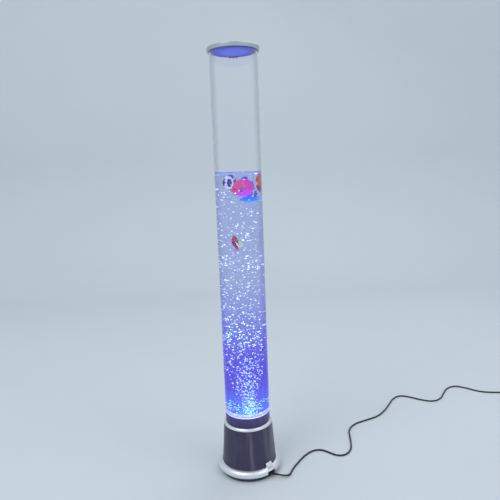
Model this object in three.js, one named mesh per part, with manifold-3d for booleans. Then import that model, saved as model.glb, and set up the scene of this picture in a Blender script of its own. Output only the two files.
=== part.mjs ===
// Bubble fish lamp: a tall clear tube of water with plastic fish, standing on a turned silver base.
// The base holds the lights, the control board and a small vibrating air pump, whose air rises
// through a perforated disc as bubbles. A low-voltage lead runs from the foot to a plug-in adaptor.
// Millimetres, +Z up. The origin is on the surface under the centre of the foot, and -Y is the front.

import * as THREE from 'three';
import { mergeVertices } from 'three/addons/utils/BufferGeometryUtils.js';
import Module from 'manifold-3d';

// Clearances and counts that many pieces share
const SEAT_GAP = 0.3;
const OVERRUN = 2;
const WELD_TOLERANCE = 0.00001;
const LARGE_SIDES = 40;
const SMALL_SIDES = 16;
const FINE_SIDES = 8;
const HOLE_SIDES = 6;
const ROUND_STEPS = 4;

// Clear tube
const TUBE_OUTER_DIAMETER = 100;
const TUBE_WALL = 3;
const TUBE_LENGTH = 781;

// Rubber feet
const FOOT_PAD_RADIUS = 7;
const FOOT_PAD_THICKNESS = 2.4;
const FOOT_PAD_INSET = 13.2;
const FOOT_STAND_PROUD = 1.6;
const FOOT_COUNT = 4;

// Base plate, a shallow dish that closes the base from below
const PLATE_INSET = 6.8;
const PLATE_THICKNESS = 3;
const PLATE_RIM_HEIGHT = 8;
const PLATE_RIM_WALL = 2.4;
const PLATE_VENT_COUNT = 6;
const PLATE_VENT_WIDTH = 3;
const PLATE_VENT_LENGTH = 14;
const PLATE_VENT_RADIUS = 8;

// Screws that hold the plate to the shell
const PLATE_SCREW_COUNT = 4;
const PLATE_SCREW_HEAD_RADIUS = 3;
const PLATE_SCREW_HEAD_HEIGHT = 1.4;
const PLATE_SCREW_RADIUS = 1.5;
const PLATE_SCREW_LENGTH = 15;
const PLATE_SCREW_BOSS_RADIUS = 4.2;
const PLATE_SCREW_BOSS_GAP = 0.5;
const PLATE_SCREW_BOSS_HEIGHT = 40;
const PLATE_SCREW_RIB_THICKNESS = 2.6;
const PLATE_SCREW_RIB_START = 16;
const SCREW_SLOT_WIDTH = 0.8;
const SCREW_SLOT_DEPTH = 0.6;

// Foot ring, the rounded flange around the shell's lower edge
const FOOT_RING_FLANGE = 10.6;
const FOOT_RING_HEIGHT = 14.6;
const FOOT_RING_LEDGE_WIDTH = 5.4;
const FOOT_RING_LEDGE_HEIGHT = 7;
const FOOT_RING_WIDEST_HEIGHT = 4.8;
const FOOT_RING_LOWER_ROUND = 3.4;

// Notch in the foot where the lead leaves, and the small hood over it
const CORD_EXIT_ANGLE = THREE.MathUtils.degToRad(-48);
const NOTCH_WIDTH = 21;
const NOTCH_TOP_ABOVE_RING_BOTTOM = 8.1;
const HOOD_WIDTH = 17;
const HOOD_RISE = 9.5;
const HOOD_TOP_DEPTH = 2.6;
const HOOD_FOOT_DEPTH = 6.6;

// Base shell: a slightly conical side, a rounded shoulder and a straight neck under the tube
const SHOULDER_OVERHANG = 4.8;
const SHELL_FLARE = 6.6;
const SHELL_SIDE_HEIGHT = 95.3;
const SHELL_WALL = 2.6;
const SHOULDER_ROUND_HEIGHT = 5.5;
const SHOULDER_THICKNESS = 7;
const NECK_HEIGHT = 22;

// Floor of the tube, with a skirt that stands in the neck
const FLOOR_TOP_ABOVE_TUBE_BOTTOM = 3.7;
const FLOOR_THICKNESS = 5;
const FLOOR_SKIRT_DEPTH = 16;
const FLOOR_SKIRT_WALL = 4.6;
const SEAL_WIRE_RADIUS = 1.2;
const SEAL_SINK = 0.9;
const SEAL_HEIGHT_ABOVE_SKIRT = 5;

// Air nozzle through the floor, and its nut
const NOZZLE_FLANGE_RADIUS = 7;
const NOZZLE_FLANGE_HEIGHT = 1.9;
const NOZZLE_SHANK_RADIUS = 4;
const NOZZLE_SHANK_LENGTH = 20;
const NOZZLE_SPIGOT_LENGTH = 12;
const NOZZLE_BORE_RADIUS = 1.2;
const NUT_RADIUS = 8;
const NUT_HEIGHT = 4.6;

// Perforated disc that breaks the air into bubbles
const DISC_THICKNESS = 2.4;
const DISC_LIP_HEIGHT = 2.6;
const DISC_LIP_WALL = 3;
const DISC_HOLE_RADIUS = 1.1;
const DISC_HOLE_RING_PITCH = 12;
const DISC_HOLE_COUNTS = [6, 11, 16];

// White tray that carries the lights inside the neck
const TRAY_THICKNESS = 3;
const TRAY_HOLE_RADIUS = 11;
const TRAY_CUP_SIDE_GAP = 1.4;
const TRAY_CUP_WALL = 1.6;
const TRAY_CUP_TOP_GAP = 0.5;
const TRAY_SCREW_COUNT = 3;
const TRAY_SCREW_RADIUS = 1.2;
const TRAY_SCREW_HEAD_RADIUS = 2.4;
const TRAY_SCREW_HEAD_HEIGHT = 1.6;
const TRAY_SCREW_BITE = 4.6;

// Light board and its lights
const LIGHT_BOARD_EDGE_GAP = 2;
const LIGHT_BOARD_HOLE_RADIUS = 10;
const BOARD_THICKNESS = 1.6;
const LED_COUNT = 4;
const LED_RADIUS = 2.5;
const LED_RIM_RADIUS = 2.9;
const LED_RIM_HEIGHT = 1;
const LED_BODY_HEIGHT = 3.6;

// Control board on two posts of the base plate, with its parts soldered on
const CONTROL_BOARD_LENGTH = 44;
const CONTROL_BOARD_WIDTH = 30;
const CONTROL_BOARD_CENTRE_X = -4;
const CONTROL_BOARD_CENTRE_Y = -20;
const POST_RADIUS = 3;
const POST_HEIGHT = 5.4;
const POST_INSET = 4;
const BOARD_SCREW_RADIUS = 1;
const BOARD_SCREW_HEAD_RADIUS = 2;
const BOARD_SCREW_HEAD_HEIGHT = 1.2;
const BOARD_SCREW_BITE = 4;
const SOCKET_WIDTH = 8;
const SOCKET_DEPTH = 6;
const SOCKET_HEIGHT = 6;
const SUPPLY_SOCKET_DEPTH = 10;
const SUPPLY_SOCKET_HEIGHT = 8;
const CHIP_LENGTH = 12;
const CHIP_WIDTH = 7;
const CHIP_HEIGHT = 2;
const CAPACITOR_RADIUS = 3.5;
const CAPACITOR_HEIGHT = 9;

// Push switch in the back of the shell
const SWITCH_BUSH_RADIUS = 5.9;
const SWITCH_BORE_RADIUS = 4.2;
const SWITCH_COLLAR_RADIUS = 8.5;
const SWITCH_COLLAR_THICKNESS = 4;
const SWITCH_BOX_SIDE = 14;
const SWITCH_BOX_LENGTH = 18;
const SWITCH_BOX_WALL = 3;
const SWITCH_RING_RADIUS = 9;
const SWITCH_RING_THICKNESS = 2;
const SWITCH_BUSH_PROUD = 1.4;
const BUTTON_RADIUS = 3.9;
const BUTTON_PROUD = 2.8;
const BUTTON_DOME = 0.9;
const BUTTON_LENGTH = 18;
const SPRING_COIL_RADIUS = 3;
const SPRING_WIRE_RADIUS = 0.45;
const SPRING_TURN_COUNT = 4;
const SPRING_TURN_STEPS = 8;
const SPRING_SIDES = 5;

// Vibrating air pump: a magnet on a sprung arm is driven by a coil and works a rubber bellows
const PUMP_SLAB_THICKNESS = 2.5;
const PUMP_SLAB_LENGTH = 64;
const PUMP_SLAB_WIDTH = 32;
const PUMP_CENTRE_X = 2;
const PUMP_CENTRE_Y = 21;
const PUMP_PEG_RADIUS = 1.8;
const PUMP_DECK_HEIGHT = 4.3;
const PUMP_PEG_SPREAD = 26;
const PUMP_PEG_OFFSET = -13;
const ARM_PIVOT_X = -24;
const ARM_PIVOT_Y = 18;
const ARM_LENGTH = 36;
const ARM_THICKNESS = 1.6;
const ARM_HEIGHT = 14;
const ARM_PIN_RADIUS = 2;
const ARM_PIN_OVERHANG = 2.4;
const ARM_STUD_DISTANCE = 20;
const ARM_STUD_RADIUS = 2.5;
const ARM_STUD_LENGTH = 1.8;
const PIN_CLEARANCE = 0.3;
const HINGE_POST_SIDE = 12;
const HINGE_SLOT_HALF_WIDTH = 2;
const MAGNET_THICKNESS = 3.7;
const MAGNET_WIDTH = 10;
const POLE_GAP = 1;
const CORE_LENGTH = 16;
const CORE_WIDTH = 20;
const CORE_LEG = 4;
const WINDING_WALL = 3.4;
const WINDING_END_GAP = 0.5;
const PAD_WIDTH = 4;
const VALVE_LENGTH = 18;
const VALVE_DEPTH = 10;
const NIPPLE_RADIUS = 2.1;
const NIPPLE_LENGTH = 9;
const BELLOWS_LENGTH = 4.8;
const BELLOWS_RADIUS = 6.4;
const BELLOWS_FOLD = 1.6;
const BELLOWS_WALL = 1.2;

// Air hoses and the check valve between them
const HOSE_OUTER_RADIUS = 3.8;
const HOSE_INNER_RADIUS = 2.6;
const HOSE_LAP = 7;
const CHECK_VALVE_RADIUS = 6;
const CHECK_VALVE_LENGTH = 14;
const CHECK_VALVE_BELOW_NOZZLE = 12.3;
const CHECK_VALVE_NIPPLE_LENGTH = 8;
const HOSE_BEND_SHARES = [[0.95, 0.2], [0.5, 0.5], [0.05, 0.8]];

// Leads inside the base
const LEAD_RADIUS = 1.2;
const LEAD_SIDES = 6;
const LEAD_STEPS = 12;
const LEAD_LOOP_HEIGHT = 8;

// Strain relief, lead, coil and adaptor
const GLAND_INSET = 1;
const GLAND_BLOCK_DEPTH = 6.5;
const GLAND_NOSE_LENGTH = 20;
const GLAND_NOSE_ROOT_RADIUS = 3.6;
const GLAND_NOSE_TURN = THREE.MathUtils.degToRad(26);
const CORD_DIAMETER = 4;
const CORD_LIFT = 0.2;
const GLAND_HEIGHT = 8.4;
const CORD_SIDES = 8;
const CORD_STEPS = 80;
const TAIL_STEPS = 10;
const COIL_LOOP_STEPS = 24;
const COIL_SIDES = 6;
const COIL_IN_LOOP_COUNT = 2;
const COIL_CLIMB_LOOP_COUNT = 0.5;
const COIL_OUT_LOOP_COUNT = 1.75;
const COIL_TURN_GAP = 0.55;
const COIL_OUTER_RADIUS = 27.25;
const COIL_CENTRE_X = 792;
const COIL_CENTRE_Y = 279;
const COIL_LIFT = 1.3;
const TIE_THICKNESS = 0.8;
const TIE_WIDTH = 5;
const TIE_ROUND = 3;
const TIE_ANGLE = THREE.MathUtils.degToRad(200);
const ADAPTOR_LENGTH = 62;
const ADAPTOR_WIDTH = 42;
const ADAPTOR_THICKNESS = 24;
const ADAPTOR_ROUND = 5;
const ADAPTOR_DISTANCE = 82;
const ADAPTOR_RELIEF_LENGTH = 18;
const ADAPTOR_RELIEF_ROOT_RADIUS = 4;
const PIN_RADIUS = 2;
const PIN_SPACING = 19;
const PIN_LENGTH = 19;
const PIN_SEAT_DEPTH = 4;

// Cap
const CAP_RIM_WALL = 3.5;
const CAP_PLATE_THICKNESS = 4.4;
const CAP_RIM_DEPTH = 3.6;
const CAP_PLUG_DEPTH = 5;
const CAP_FIT_GAP = 0.4;
const CAP_EDGE_ROUND = 1.6;
const CAP_SLOT_COUNT = 3;
const CAP_SLOT_WIDTH = 2.6;
const CAP_SLOT_LENGTH = 9;
const CAP_SLOT_PITCH = 6.4;

// Water, which the lamp is filled with, and the fish, each a moulded body with flat fins
const WATER_DEPTH = 533.7;
const FISH_LENGTH = 36;
const FISH_THICKNESS = 8;
const FIN_THICKNESS = 1.4;
const FISH_RING_SIDES = 10;

// Finishes
const SATIN_SILVER = { color: 0xb9bdc4, roughness: 0.32, metalness: 0.85 };
const BRIGHT_METAL = { color: 0xc9ccd0, roughness: 0.25, metalness: 1.0 };
const ZINC_STEEL = { color: 0x9a9ca0, roughness: 0.4, metalness: 1.0 };
const COPPER_WINDING = { color: 0x8f4a22, roughness: 0.45, metalness: 0.7 };
const CLEAR_ACRYLIC = { color: 0xe8eef4, roughness: 0.05, metalness: 0.0, transparent: true, opacity: 0.35 };
const WHITE_PLASTIC = { color: 0xe8e8e4, roughness: 0.5, metalness: 0.0 };
const GREY_PLASTIC = { color: 0x5c6066, roughness: 0.6, metalness: 0.0 };
const BLACK_PLASTIC = { color: 0x141416, roughness: 0.5, metalness: 0.0 };
const BLACK_RUBBER = { color: 0x18181a, roughness: 0.85, metalness: 0.0 };
const CLEAR_SILICONE = { color: 0xd6dcdc, roughness: 0.4, metalness: 0.0 };
const GREEN_BOARD = { color: 0x1f5a37, roughness: 0.45, metalness: 0.1 };
const FERRITE = { color: 0x2c2c30, roughness: 0.7, metalness: 0.2 };
const STRIPED_BLUE = { color: 0x27408c, roughness: 0.35, metalness: 0.0 };
const PINK = { color: 0xe0286e, roughness: 0.35, metalness: 0.0 };
const AZURE = { color: 0x2f9be6, roughness: 0.35, metalness: 0.0 };
const ORANGE = { color: 0xf0642a, roughness: 0.35, metalness: 0.0 };
const CRIMSON = { color: 0xb02038, roughness: 0.35, metalness: 0.0 };

// Heights and radii that follow from the sizes above
const tubeRadius = TUBE_OUTER_DIAMETER / 2;
const tubeBore = tubeRadius - TUBE_WALL;
const shellTopRadius = tubeRadius + SHOULDER_OVERHANG;
const shellBottomRadius = shellTopRadius + SHELL_FLARE;
const ringRadius = shellBottomRadius + FOOT_RING_FLANGE;
const capRadius = tubeRadius + CAP_FIT_GAP + CAP_RIM_WALL;
const plateUnderside = FOOT_STAND_PROUD;
const plateFloorTop = plateUnderside + PLATE_THICKNESS;
const plateRimTop = plateUnderside + PLATE_RIM_HEIGHT;
const plateRadius = ringRadius - PLATE_INSET;
const footPadCircle = plateRadius - FOOT_PAD_INSET;
const ringInner = shellBottomRadius - FOOT_RING_LEDGE_WIDTH;
const plateScrewCircle = ringInner - PLATE_SCREW_BOSS_RADIUS - PLATE_SCREW_BOSS_GAP;
const glandInner = ringInner + GLAND_INSET;
const ringBottom = plateRimTop + SEAT_GAP;
const ringTop = ringBottom + FOOT_RING_HEIGHT;
const ringLedgeTop = ringBottom + FOOT_RING_LEDGE_HEIGHT;
const notchTop = ringBottom + NOTCH_TOP_ABOVE_RING_BOTTOM;
const shellBottom = ringLedgeTop + SEAT_GAP;
const shoulderEdge = shellBottom + SHELL_SIDE_HEIGHT;
const shoulderTop = shoulderEdge + SHOULDER_ROUND_HEIGHT;
const shoulderUnderside = shoulderTop - SHOULDER_THICKNESS;
const bossBottom = plateFloorTop + SEAT_GAP;
const bossTop = bossBottom + PLATE_SCREW_BOSS_HEIGHT;
const switchHeight = (bossTop + shoulderUnderside) / 2;
const neckTop = shoulderTop + NECK_HEIGHT;
const tubeBottom = neckTop + SEAT_GAP;
const tubeTop = tubeBottom + TUBE_LENGTH;
const floorTop = tubeBottom + FLOOR_TOP_ABOVE_TUBE_BOTTOM;
const floorUnderside = floorTop - FLOOR_THICKNESS;
const skirtBottom = floorTop - FLOOR_SKIRT_DEPTH;
const floorRadius = tubeBore - SEAT_GAP;
const trayTop = shoulderUnderside - SEAT_GAP;
const trayBottom = trayTop - TRAY_THICKNESS;
const trayCupRadius = tubeBore - TRAY_CUP_SIDE_GAP;
const trayCupTop = skirtBottom - TRAY_CUP_TOP_GAP;
const trayRadius = sideRadius(shoulderUnderside) - SHELL_WALL - SEAT_GAP;
const trayScrewCircle = (tubeBore + trayRadius) / 2;
const lightBoardRadius = trayCupRadius - TRAY_CUP_WALL - LIGHT_BOARD_EDGE_GAP;
const ledCircle = (LIGHT_BOARD_HOLE_RADIUS + lightBoardRadius) / 2;
const lightBoardBottom = trayTop + SEAT_GAP;
const lightBoardTop = lightBoardBottom + BOARD_THICKNESS;
const controlBoardBottom = plateFloorTop + POST_HEIGHT + SEAT_GAP;
const controlBoardTop = controlBoardBottom + BOARD_THICKNESS;
const slabBottom = plateFloorTop + SEAT_GAP;
const slabTop = slabBottom + PUMP_SLAB_THICKNESS;
const deckTop = slabTop + PUMP_DECK_HEIGHT;
const armBottom = deckTop + SEAT_GAP;
const armTop = armBottom + ARM_HEIGHT;
const capSeat = tubeTop + SEAT_GAP;
const capTop = capSeat + CAP_PLATE_THICKNESS;
const cordRadius = CORD_DIAMETER / 2;
const waterLine = tubeBottom + WATER_DEPTH;

// Outer radius of the shell's conical side at a height
function sideRadius(height) {
  const slope = (shellBottomRadius - shellTopRadius) / SHELL_SIDE_HEIGHT;
  return shellTopRadius + (shoulderEdge - height) * slope;
}

const wasm = await Module();
wasm.setup();

// Six times the volume that a closed mesh encloses, negative when its faces point inwards
function signedVolume(positions, corners) {
  const a = new THREE.Vector3();
  const b = new THREE.Vector3();
  const c = new THREE.Vector3();
  let total = 0;
  for (let i = 0; i < corners.length; i += 3) {
    a.fromArray(positions, corners[i] * 3);
    b.fromArray(positions, corners[i + 1] * 3);
    c.fromArray(positions, corners[i + 2] * 3);
    total += a.dot(b.cross(c));
  }
  return total;
}

// A closed geometry as a solid that can be joined and cut, with its faces pointing outwards
function toSolid(geometry) {
  const bare = geometry.clone();
  for (const name of Object.keys(bare.attributes)) {
    if (name !== 'position') {
      bare.deleteAttribute(name);
    }
  }
  const welded = mergeVertices(bare, WELD_TOLERANCE);
  const positions = welded.attributes.position.array;
  const index = welded.index.array;
  const corners = [];
  for (let i = 0; i < index.length; i += 3) {
    const [a, b, c] = [index[i], index[i + 1], index[i + 2]];
    if (a !== b && b !== c && c !== a) {
      corners.push(a, b, c);
    }
  }
  if (signedVolume(positions, corners) < 0) {
    for (let i = 0; i < corners.length; i += 3) {
      [corners[i], corners[i + 1]] = [corners[i + 1], corners[i]];
    }
  }
  const vertProperties = new Float32Array(positions);
  const triVerts = new Uint32Array(corners);
  return new wasm.Manifold(new wasm.Mesh({ numProp: 3, vertProperties, triVerts }));
}

function toGeometry(solid) {
  const mesh = solid.getMesh();
  const geometry = new THREE.BufferGeometry();
  geometry.setAttribute('position', new THREE.BufferAttribute(mesh.vertProperties, 3));
  geometry.setIndex(new THREE.BufferAttribute(mesh.triVerts, 1));
  geometry.computeVertexNormals();
  return geometry;
}

function join(first, ...others) {
  const solid = others.reduce((body, other) => body.add(toSolid(other)), toSolid(first));
  return toGeometry(solid);
}

function cut(first, ...tools) {
  const solid = tools.reduce((body, tool) => body.subtract(toSolid(tool)), toSolid(first));
  return toGeometry(solid);
}

// A body turned about Z from an outline of [radius, height] points that closes on itself
function turned(outline, sides = LARGE_SIDES) {
  const points = outline.map(([radius, height]) => new THREE.Vector2(radius, height));
  points.push(points[0].clone());
  const geometry = new THREE.LatheGeometry(points, sides);
  geometry.rotateX(Math.PI / 2);
  return geometry;
}

// Points of a quarter ellipse in an outline, from one angle to another in quarter turns
function roundPoints(centreRadius, centreHeight, radiusAcross, radiusUp, fromQuarter, toQuarter) {
  const points = [];
  for (let step = 0; step <= ROUND_STEPS; step += 1) {
    const angle = (fromQuarter + ((toQuarter - fromQuarter) * step) / ROUND_STEPS) * (Math.PI / 2);
    const across = centreRadius + radiusAcross * Math.cos(angle);
    const up = centreHeight + radiusUp * Math.sin(angle);
    points.push([across, up]);
  }
  return points;
}

function rod(radius, bottom, top, sides = SMALL_SIDES) {
  const geometry = new THREE.CylinderGeometry(radius, radius, top - bottom, sides);
  geometry.rotateX(Math.PI / 2);
  geometry.translate(0, 0, (bottom + top) / 2);
  return geometry;
}

function taperedRod(lowRadius, highRadius, bottom, top, sides = SMALL_SIDES) {
  const geometry = new THREE.CylinderGeometry(highRadius, lowRadius, top - bottom, sides);
  geometry.rotateX(Math.PI / 2);
  geometry.translate(0, 0, (bottom + top) / 2);
  return geometry;
}

function block(low, high) {
  const size = high.map((value, axis) => value - low[axis]);
  const geometry = new THREE.BoxGeometry(size[0], size[1], size[2]);
  geometry.translate((low[0] + high[0]) / 2, (low[1] + high[1]) / 2, (low[2] + high[2]) / 2);
  return geometry;
}

function moved(geometry, x, y, z = 0) {
  return geometry.clone().translate(x, y, z);
}

// The same geometry at a radius from the Z axis, turned to an angle
function around(geometry, radius, angle) {
  return geometry.clone().translate(radius, 0, 0).rotateZ(angle);
}

// A flat outline of [x, y] points, given a thickness along Z from zero
function slab(outline, thickness) {
  const shape = new THREE.Shape(outline.map(([x, y]) => new THREE.Vector2(x, y)));
  return new THREE.ExtrudeGeometry(shape, { depth: thickness, bevelEnabled: false, steps: 1 });
}

// A radial section of [radius, height] points with a width across, at an angle about Z
function radialSlab(outline, width, angle) {
  const geometry = slab(outline, width);
  geometry.translate(0, 0, -width / 2);
  geometry.rotateX(Math.PI / 2);
  geometry.rotateZ(angle);
  return geometry;
}

function radialBlock(inner, outer, width, bottom, top, angle) {
  const low = [inner, -width / 2, bottom];
  const high = [outer, width / 2, top];
  return block(low, high).rotateZ(angle);
}

function roundShape(radius, sides) {
  const points = [];
  for (let i = 0; i < sides; i += 1) {
    const angle = (i / sides) * Math.PI * 2;
    points.push(new THREE.Vector2(radius * Math.cos(angle), radius * Math.sin(angle)));
  }
  return new THREE.Shape(points);
}

// A round tube along a smooth curve through points, solid unless a bore is given
function tubeAlong(points, radius, sides, steps, bore = 0) {
  const shape = roundShape(radius, sides);
  if (bore > 0) {
    shape.holes.push(new THREE.Path(roundShape(bore, sides).getPoints()));
  }
  const vectors = points.map((point) => new THREE.Vector3(...point));
  const path = new THREE.CatmullRomCurve3(vectors, false, 'centripetal');
  return new THREE.ExtrudeGeometry(shape, { steps, extrudePath: path, bevelEnabled: false });
}

const lamp = new THREE.Group();
lamp.name = 'bubble_fish_lamp';

function addPiece(name, geometry, finish, parent = lamp) {
  const mesh = new THREE.Mesh(toGeometry(toSolid(geometry)), new THREE.MeshStandardMaterial(finish));
  mesh.name = name;
  parent.add(mesh);
  return mesh;
}

// Angles of pieces spaced evenly around the axis
function spacedAngles(count, start = 0) {
  return Array.from({ length: count }, (_, i) => start + (i / count) * Math.PI * 2);
}

const footAngles = spacedAngles(FOOT_COUNT, Math.PI / FOOT_COUNT);
const plateScrewAngles = spacedAngles(PLATE_SCREW_COUNT);
const trayScrewAngles = spacedAngles(TRAY_SCREW_COUNT, Math.PI / 2 / TRAY_SCREW_COUNT);
const postPlaces = [
  [CONTROL_BOARD_CENTRE_X - CONTROL_BOARD_LENGTH / 2 + POST_INSET, CONTROL_BOARD_CENTRE_Y],
  [CONTROL_BOARD_CENTRE_X + CONTROL_BOARD_LENGTH / 2 - POST_INSET, CONTROL_BOARD_CENTRE_Y],
];
const pegPlaces = [
  [PUMP_CENTRE_X - PUMP_PEG_SPREAD, PUMP_CENTRE_Y + PUMP_PEG_OFFSET],
  [PUMP_CENTRE_X + PUMP_PEG_SPREAD, PUMP_CENTRE_Y + PUMP_PEG_OFFSET],
];

function notchCutter() {
  const inner = ringInner - OVERRUN;
  const outer = ringRadius + OVERRUN;
  return radialBlock(inner, outer, NOTCH_WIDTH, plateFloorTop, notchTop, CORD_EXIT_ANGLE);
}

// Base plate with pockets for the feet, sunk screw holes, vents, board posts and pump pegs
function makeBasePlate() {
  const rimBore = plateRadius - PLATE_RIM_WALL;
  const dish = turned([
    [0, plateUnderside],
    [plateRadius, plateUnderside],
    [plateRadius, plateRimTop],
    [rimBore, plateRimTop],
    [rimBore, plateFloorTop],
    [0, plateFloorTop],
  ]);
  const additions = [];
  for (const [x, y] of postPlaces) {
    const postBottom = plateFloorTop - PLATE_THICKNESS / 2;
    additions.push(moved(rod(POST_RADIUS, postBottom, plateFloorTop + POST_HEIGHT, FINE_SIDES), x, y));
  }
  for (const [x, y] of pegPlaces) {
    const pegBottom = plateFloorTop - PLATE_THICKNESS / 2;
    additions.push(moved(rod(PUMP_PEG_RADIUS, pegBottom, slabTop, FINE_SIDES), x, y));
  }
  const cuts = [notchCutter()];
  const pocketTop = FOOT_PAD_THICKNESS + SEAT_GAP;
  for (const angle of footAngles) {
    const pocket = rod(FOOT_PAD_RADIUS + SEAT_GAP, plateUnderside - OVERRUN, pocketTop);
    cuts.push(around(pocket, footPadCircle, angle));
  }
  const sinkTop = plateUnderside + PLATE_SCREW_HEAD_HEIGHT + SEAT_GAP + SEAT_GAP / 2;
  for (const angle of plateScrewAngles) {
    const sink = rod(PLATE_SCREW_HEAD_RADIUS + SEAT_GAP, plateUnderside - OVERRUN, sinkTop, FINE_SIDES);
    const hole = rod(PLATE_SCREW_RADIUS + SEAT_GAP, plateUnderside, plateFloorTop + OVERRUN, FINE_SIDES);
    cuts.push(around(sink, plateScrewCircle, angle));
    cuts.push(around(hole, plateScrewCircle, angle));
  }
  const ventOuter = PLATE_VENT_RADIUS + PLATE_VENT_LENGTH;
  for (const angle of spacedAngles(PLATE_VENT_COUNT, Math.PI / PLATE_VENT_COUNT)) {
    const bottom = plateUnderside - OVERRUN;
    const top = plateFloorTop + OVERRUN;
    cuts.push(radialBlock(PLATE_VENT_RADIUS, ventOuter, PLATE_VENT_WIDTH, bottom, top, angle));
  }
  for (const [x, y] of postPlaces) {
    const pilotTop = plateFloorTop + POST_HEIGHT + OVERRUN;
    const pilot = rod(BOARD_SCREW_RADIUS + SEAT_GAP, plateFloorTop, pilotTop, HOLE_SIDES);
    cuts.push(moved(pilot, x, y));
  }
  return cut(join(dish, ...additions), ...cuts);
}
addPiece('base_plate', makeBasePlate(), GREY_PLASTIC);

// Rubber feet in their pockets
footAngles.forEach((angle, i) => {
  const foot = addPiece(`rubber_foot_${i + 1}`, rod(FOOT_PAD_RADIUS, 0, FOOT_PAD_THICKNESS), BLACK_RUBBER);
  foot.position.set(footPadCircle * Math.cos(angle), footPadCircle * Math.sin(angle), 0);
});

// A screw that points up: its head is below height zero and its shank above, with a crossed slot
function upwardScrew(headRadius, headHeight, radius, length, sides = FINE_SIDES) {
  const head = rod(headRadius, -headHeight, 0, sides);
  const shank = rod(radius, -headHeight / 2, length, sides);
  const reach = headRadius * 2;
  const slotTop = -headHeight + SCREW_SLOT_DEPTH;
  const long = [-reach / 3, -SCREW_SLOT_WIDTH / 2, -headHeight - OVERRUN];
  const wide = [reach / 3, SCREW_SLOT_WIDTH / 2, slotTop];
  const slot = block(long, wide);
  return cut(join(head, shank), slot, slot.clone().rotateZ(Math.PI / 2));
}

// Screws up through the plate into the shell's bosses
const plateScrewSeat = plateUnderside + PLATE_SCREW_HEAD_HEIGHT + SEAT_GAP / 2;
plateScrewAngles.forEach((angle, i) => {
  const geometry = upwardScrew(
    PLATE_SCREW_HEAD_RADIUS, PLATE_SCREW_HEAD_HEIGHT, PLATE_SCREW_RADIUS, PLATE_SCREW_LENGTH,
  );
  const screw = addPiece(`plate_screw_${i + 1}`, geometry, ZINC_STEEL);
  const x = plateScrewCircle * Math.cos(angle);
  const y = plateScrewCircle * Math.sin(angle);
  screw.position.set(x, y, plateScrewSeat);
});

// Foot ring: ledge under the shell, rounded flange outside, notch and hood for the lead
function makeFootRing() {
  const widest = ringBottom + FOOT_RING_WIDEST_HEIGHT;
  const ledgeBore = sideRadius(ringLedgeTop) + SEAT_GAP;
  const topBore = sideRadius(ringTop) + SEAT_GAP;
  const upperAcross = ringRadius - topBore;
  const lowerCentre = ringRadius - FOOT_RING_LOWER_ROUND;
  const ring = turned([
    [ringInner, ringBottom],
    ...roundPoints(lowerCentre, widest, FOOT_RING_LOWER_ROUND, FOOT_RING_WIDEST_HEIGHT, -1, 0),
    ...roundPoints(topBore, widest, upperAcross, ringTop - widest, 0, 1).slice(1),
    [ledgeBore, ringLedgeTop],
    [ringInner, ringLedgeTop],
  ]);
  const hoodTop = ringTop + HOOD_RISE;
  const hoodInnerTop = sideRadius(hoodTop) + SEAT_GAP * 2;
  const hoodInnerBottom = sideRadius(notchTop) + SEAT_GAP * 2;
  const hood = radialSlab([
    [hoodInnerBottom, notchTop],
    [hoodInnerBottom + HOOD_FOOT_DEPTH, notchTop],
    [hoodInnerTop + HOOD_TOP_DEPTH, hoodTop],
    [hoodInnerTop, hoodTop],
  ], HOOD_WIDTH, CORD_EXIT_ANGLE);
  return cut(join(ring, hood), notchCutter());
}
addPiece('foot_ring', makeFootRing(), SATIN_SILVER);

// Base shell: turned wall, screw bosses with ribs, screw holes and the switch hole
function makeBaseShell() {
  const innerBottom = sideRadius(shellBottom) - SHELL_WALL;
  const innerTop = sideRadius(shoulderUnderside) - SHELL_WALL;
  const shoulderAcross = shellTopRadius - tubeRadius;
  const wall = turned([
    [sideRadius(shellBottom), shellBottom],
    ...roundPoints(tubeRadius, shoulderEdge, shoulderAcross, SHOULDER_ROUND_HEIGHT, 0, 1),
    [tubeRadius, neckTop],
    [tubeBore, neckTop],
    [tubeBore, shoulderUnderside],
    [innerTop, shoulderUnderside],
    [innerBottom, shellBottom],
  ]);
  const ribBottom = bossBottom + PLATE_SCREW_RIB_START;
  const ribOuter = sideRadius(bossTop) - SHELL_WALL / 2;
  const additions = [];
  const cuts = [];
  for (const angle of plateScrewAngles) {
    const boss = rod(PLATE_SCREW_BOSS_RADIUS, bossBottom, bossTop, FINE_SIDES);
    additions.push(around(boss, plateScrewCircle, angle));
    const ribInner = plateScrewCircle;
    const rib = radialBlock(ribInner, ribOuter, PLATE_SCREW_RIB_THICKNESS, ribBottom, bossTop, angle);
    additions.push(rib);
    const pilotTop = bossBottom + PLATE_SCREW_LENGTH;
    const pilot = rod(PLATE_SCREW_RADIUS + SEAT_GAP, bossBottom - OVERRUN, pilotTop, FINE_SIDES);
    cuts.push(around(pilot, plateScrewCircle, angle));
  }
  const biteTop = shoulderUnderside + TRAY_SCREW_BITE + SEAT_GAP;
  for (const angle of trayScrewAngles) {
    const pilot = rod(TRAY_SCREW_RADIUS + SEAT_GAP, shoulderUnderside - OVERRUN, biteTop, FINE_SIDES);
    cuts.push(around(pilot, trayScrewCircle, angle));
  }
  const holeReach = sideRadius(switchHeight) + OVERRUN;
  const switchHole = rod(SWITCH_BUSH_RADIUS + SEAT_GAP, tubeBore / 2, holeReach, SMALL_SIDES);
  switchHole.rotateX(-Math.PI / 2);
  switchHole.translate(0, 0, switchHeight);
  cuts.push(switchHole);
  return cut(join(wall, ...additions), ...cuts);
}
addPiece('base_shell', makeBaseShell(), SATIN_SILVER);

// Tube
addPiece('tube', turned([
  [tubeBore, tubeBottom],
  [tubeRadius, tubeBottom],
  [tubeRadius, tubeTop],
  [tubeBore, tubeTop],
]), CLEAR_ACRYLIC);

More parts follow.
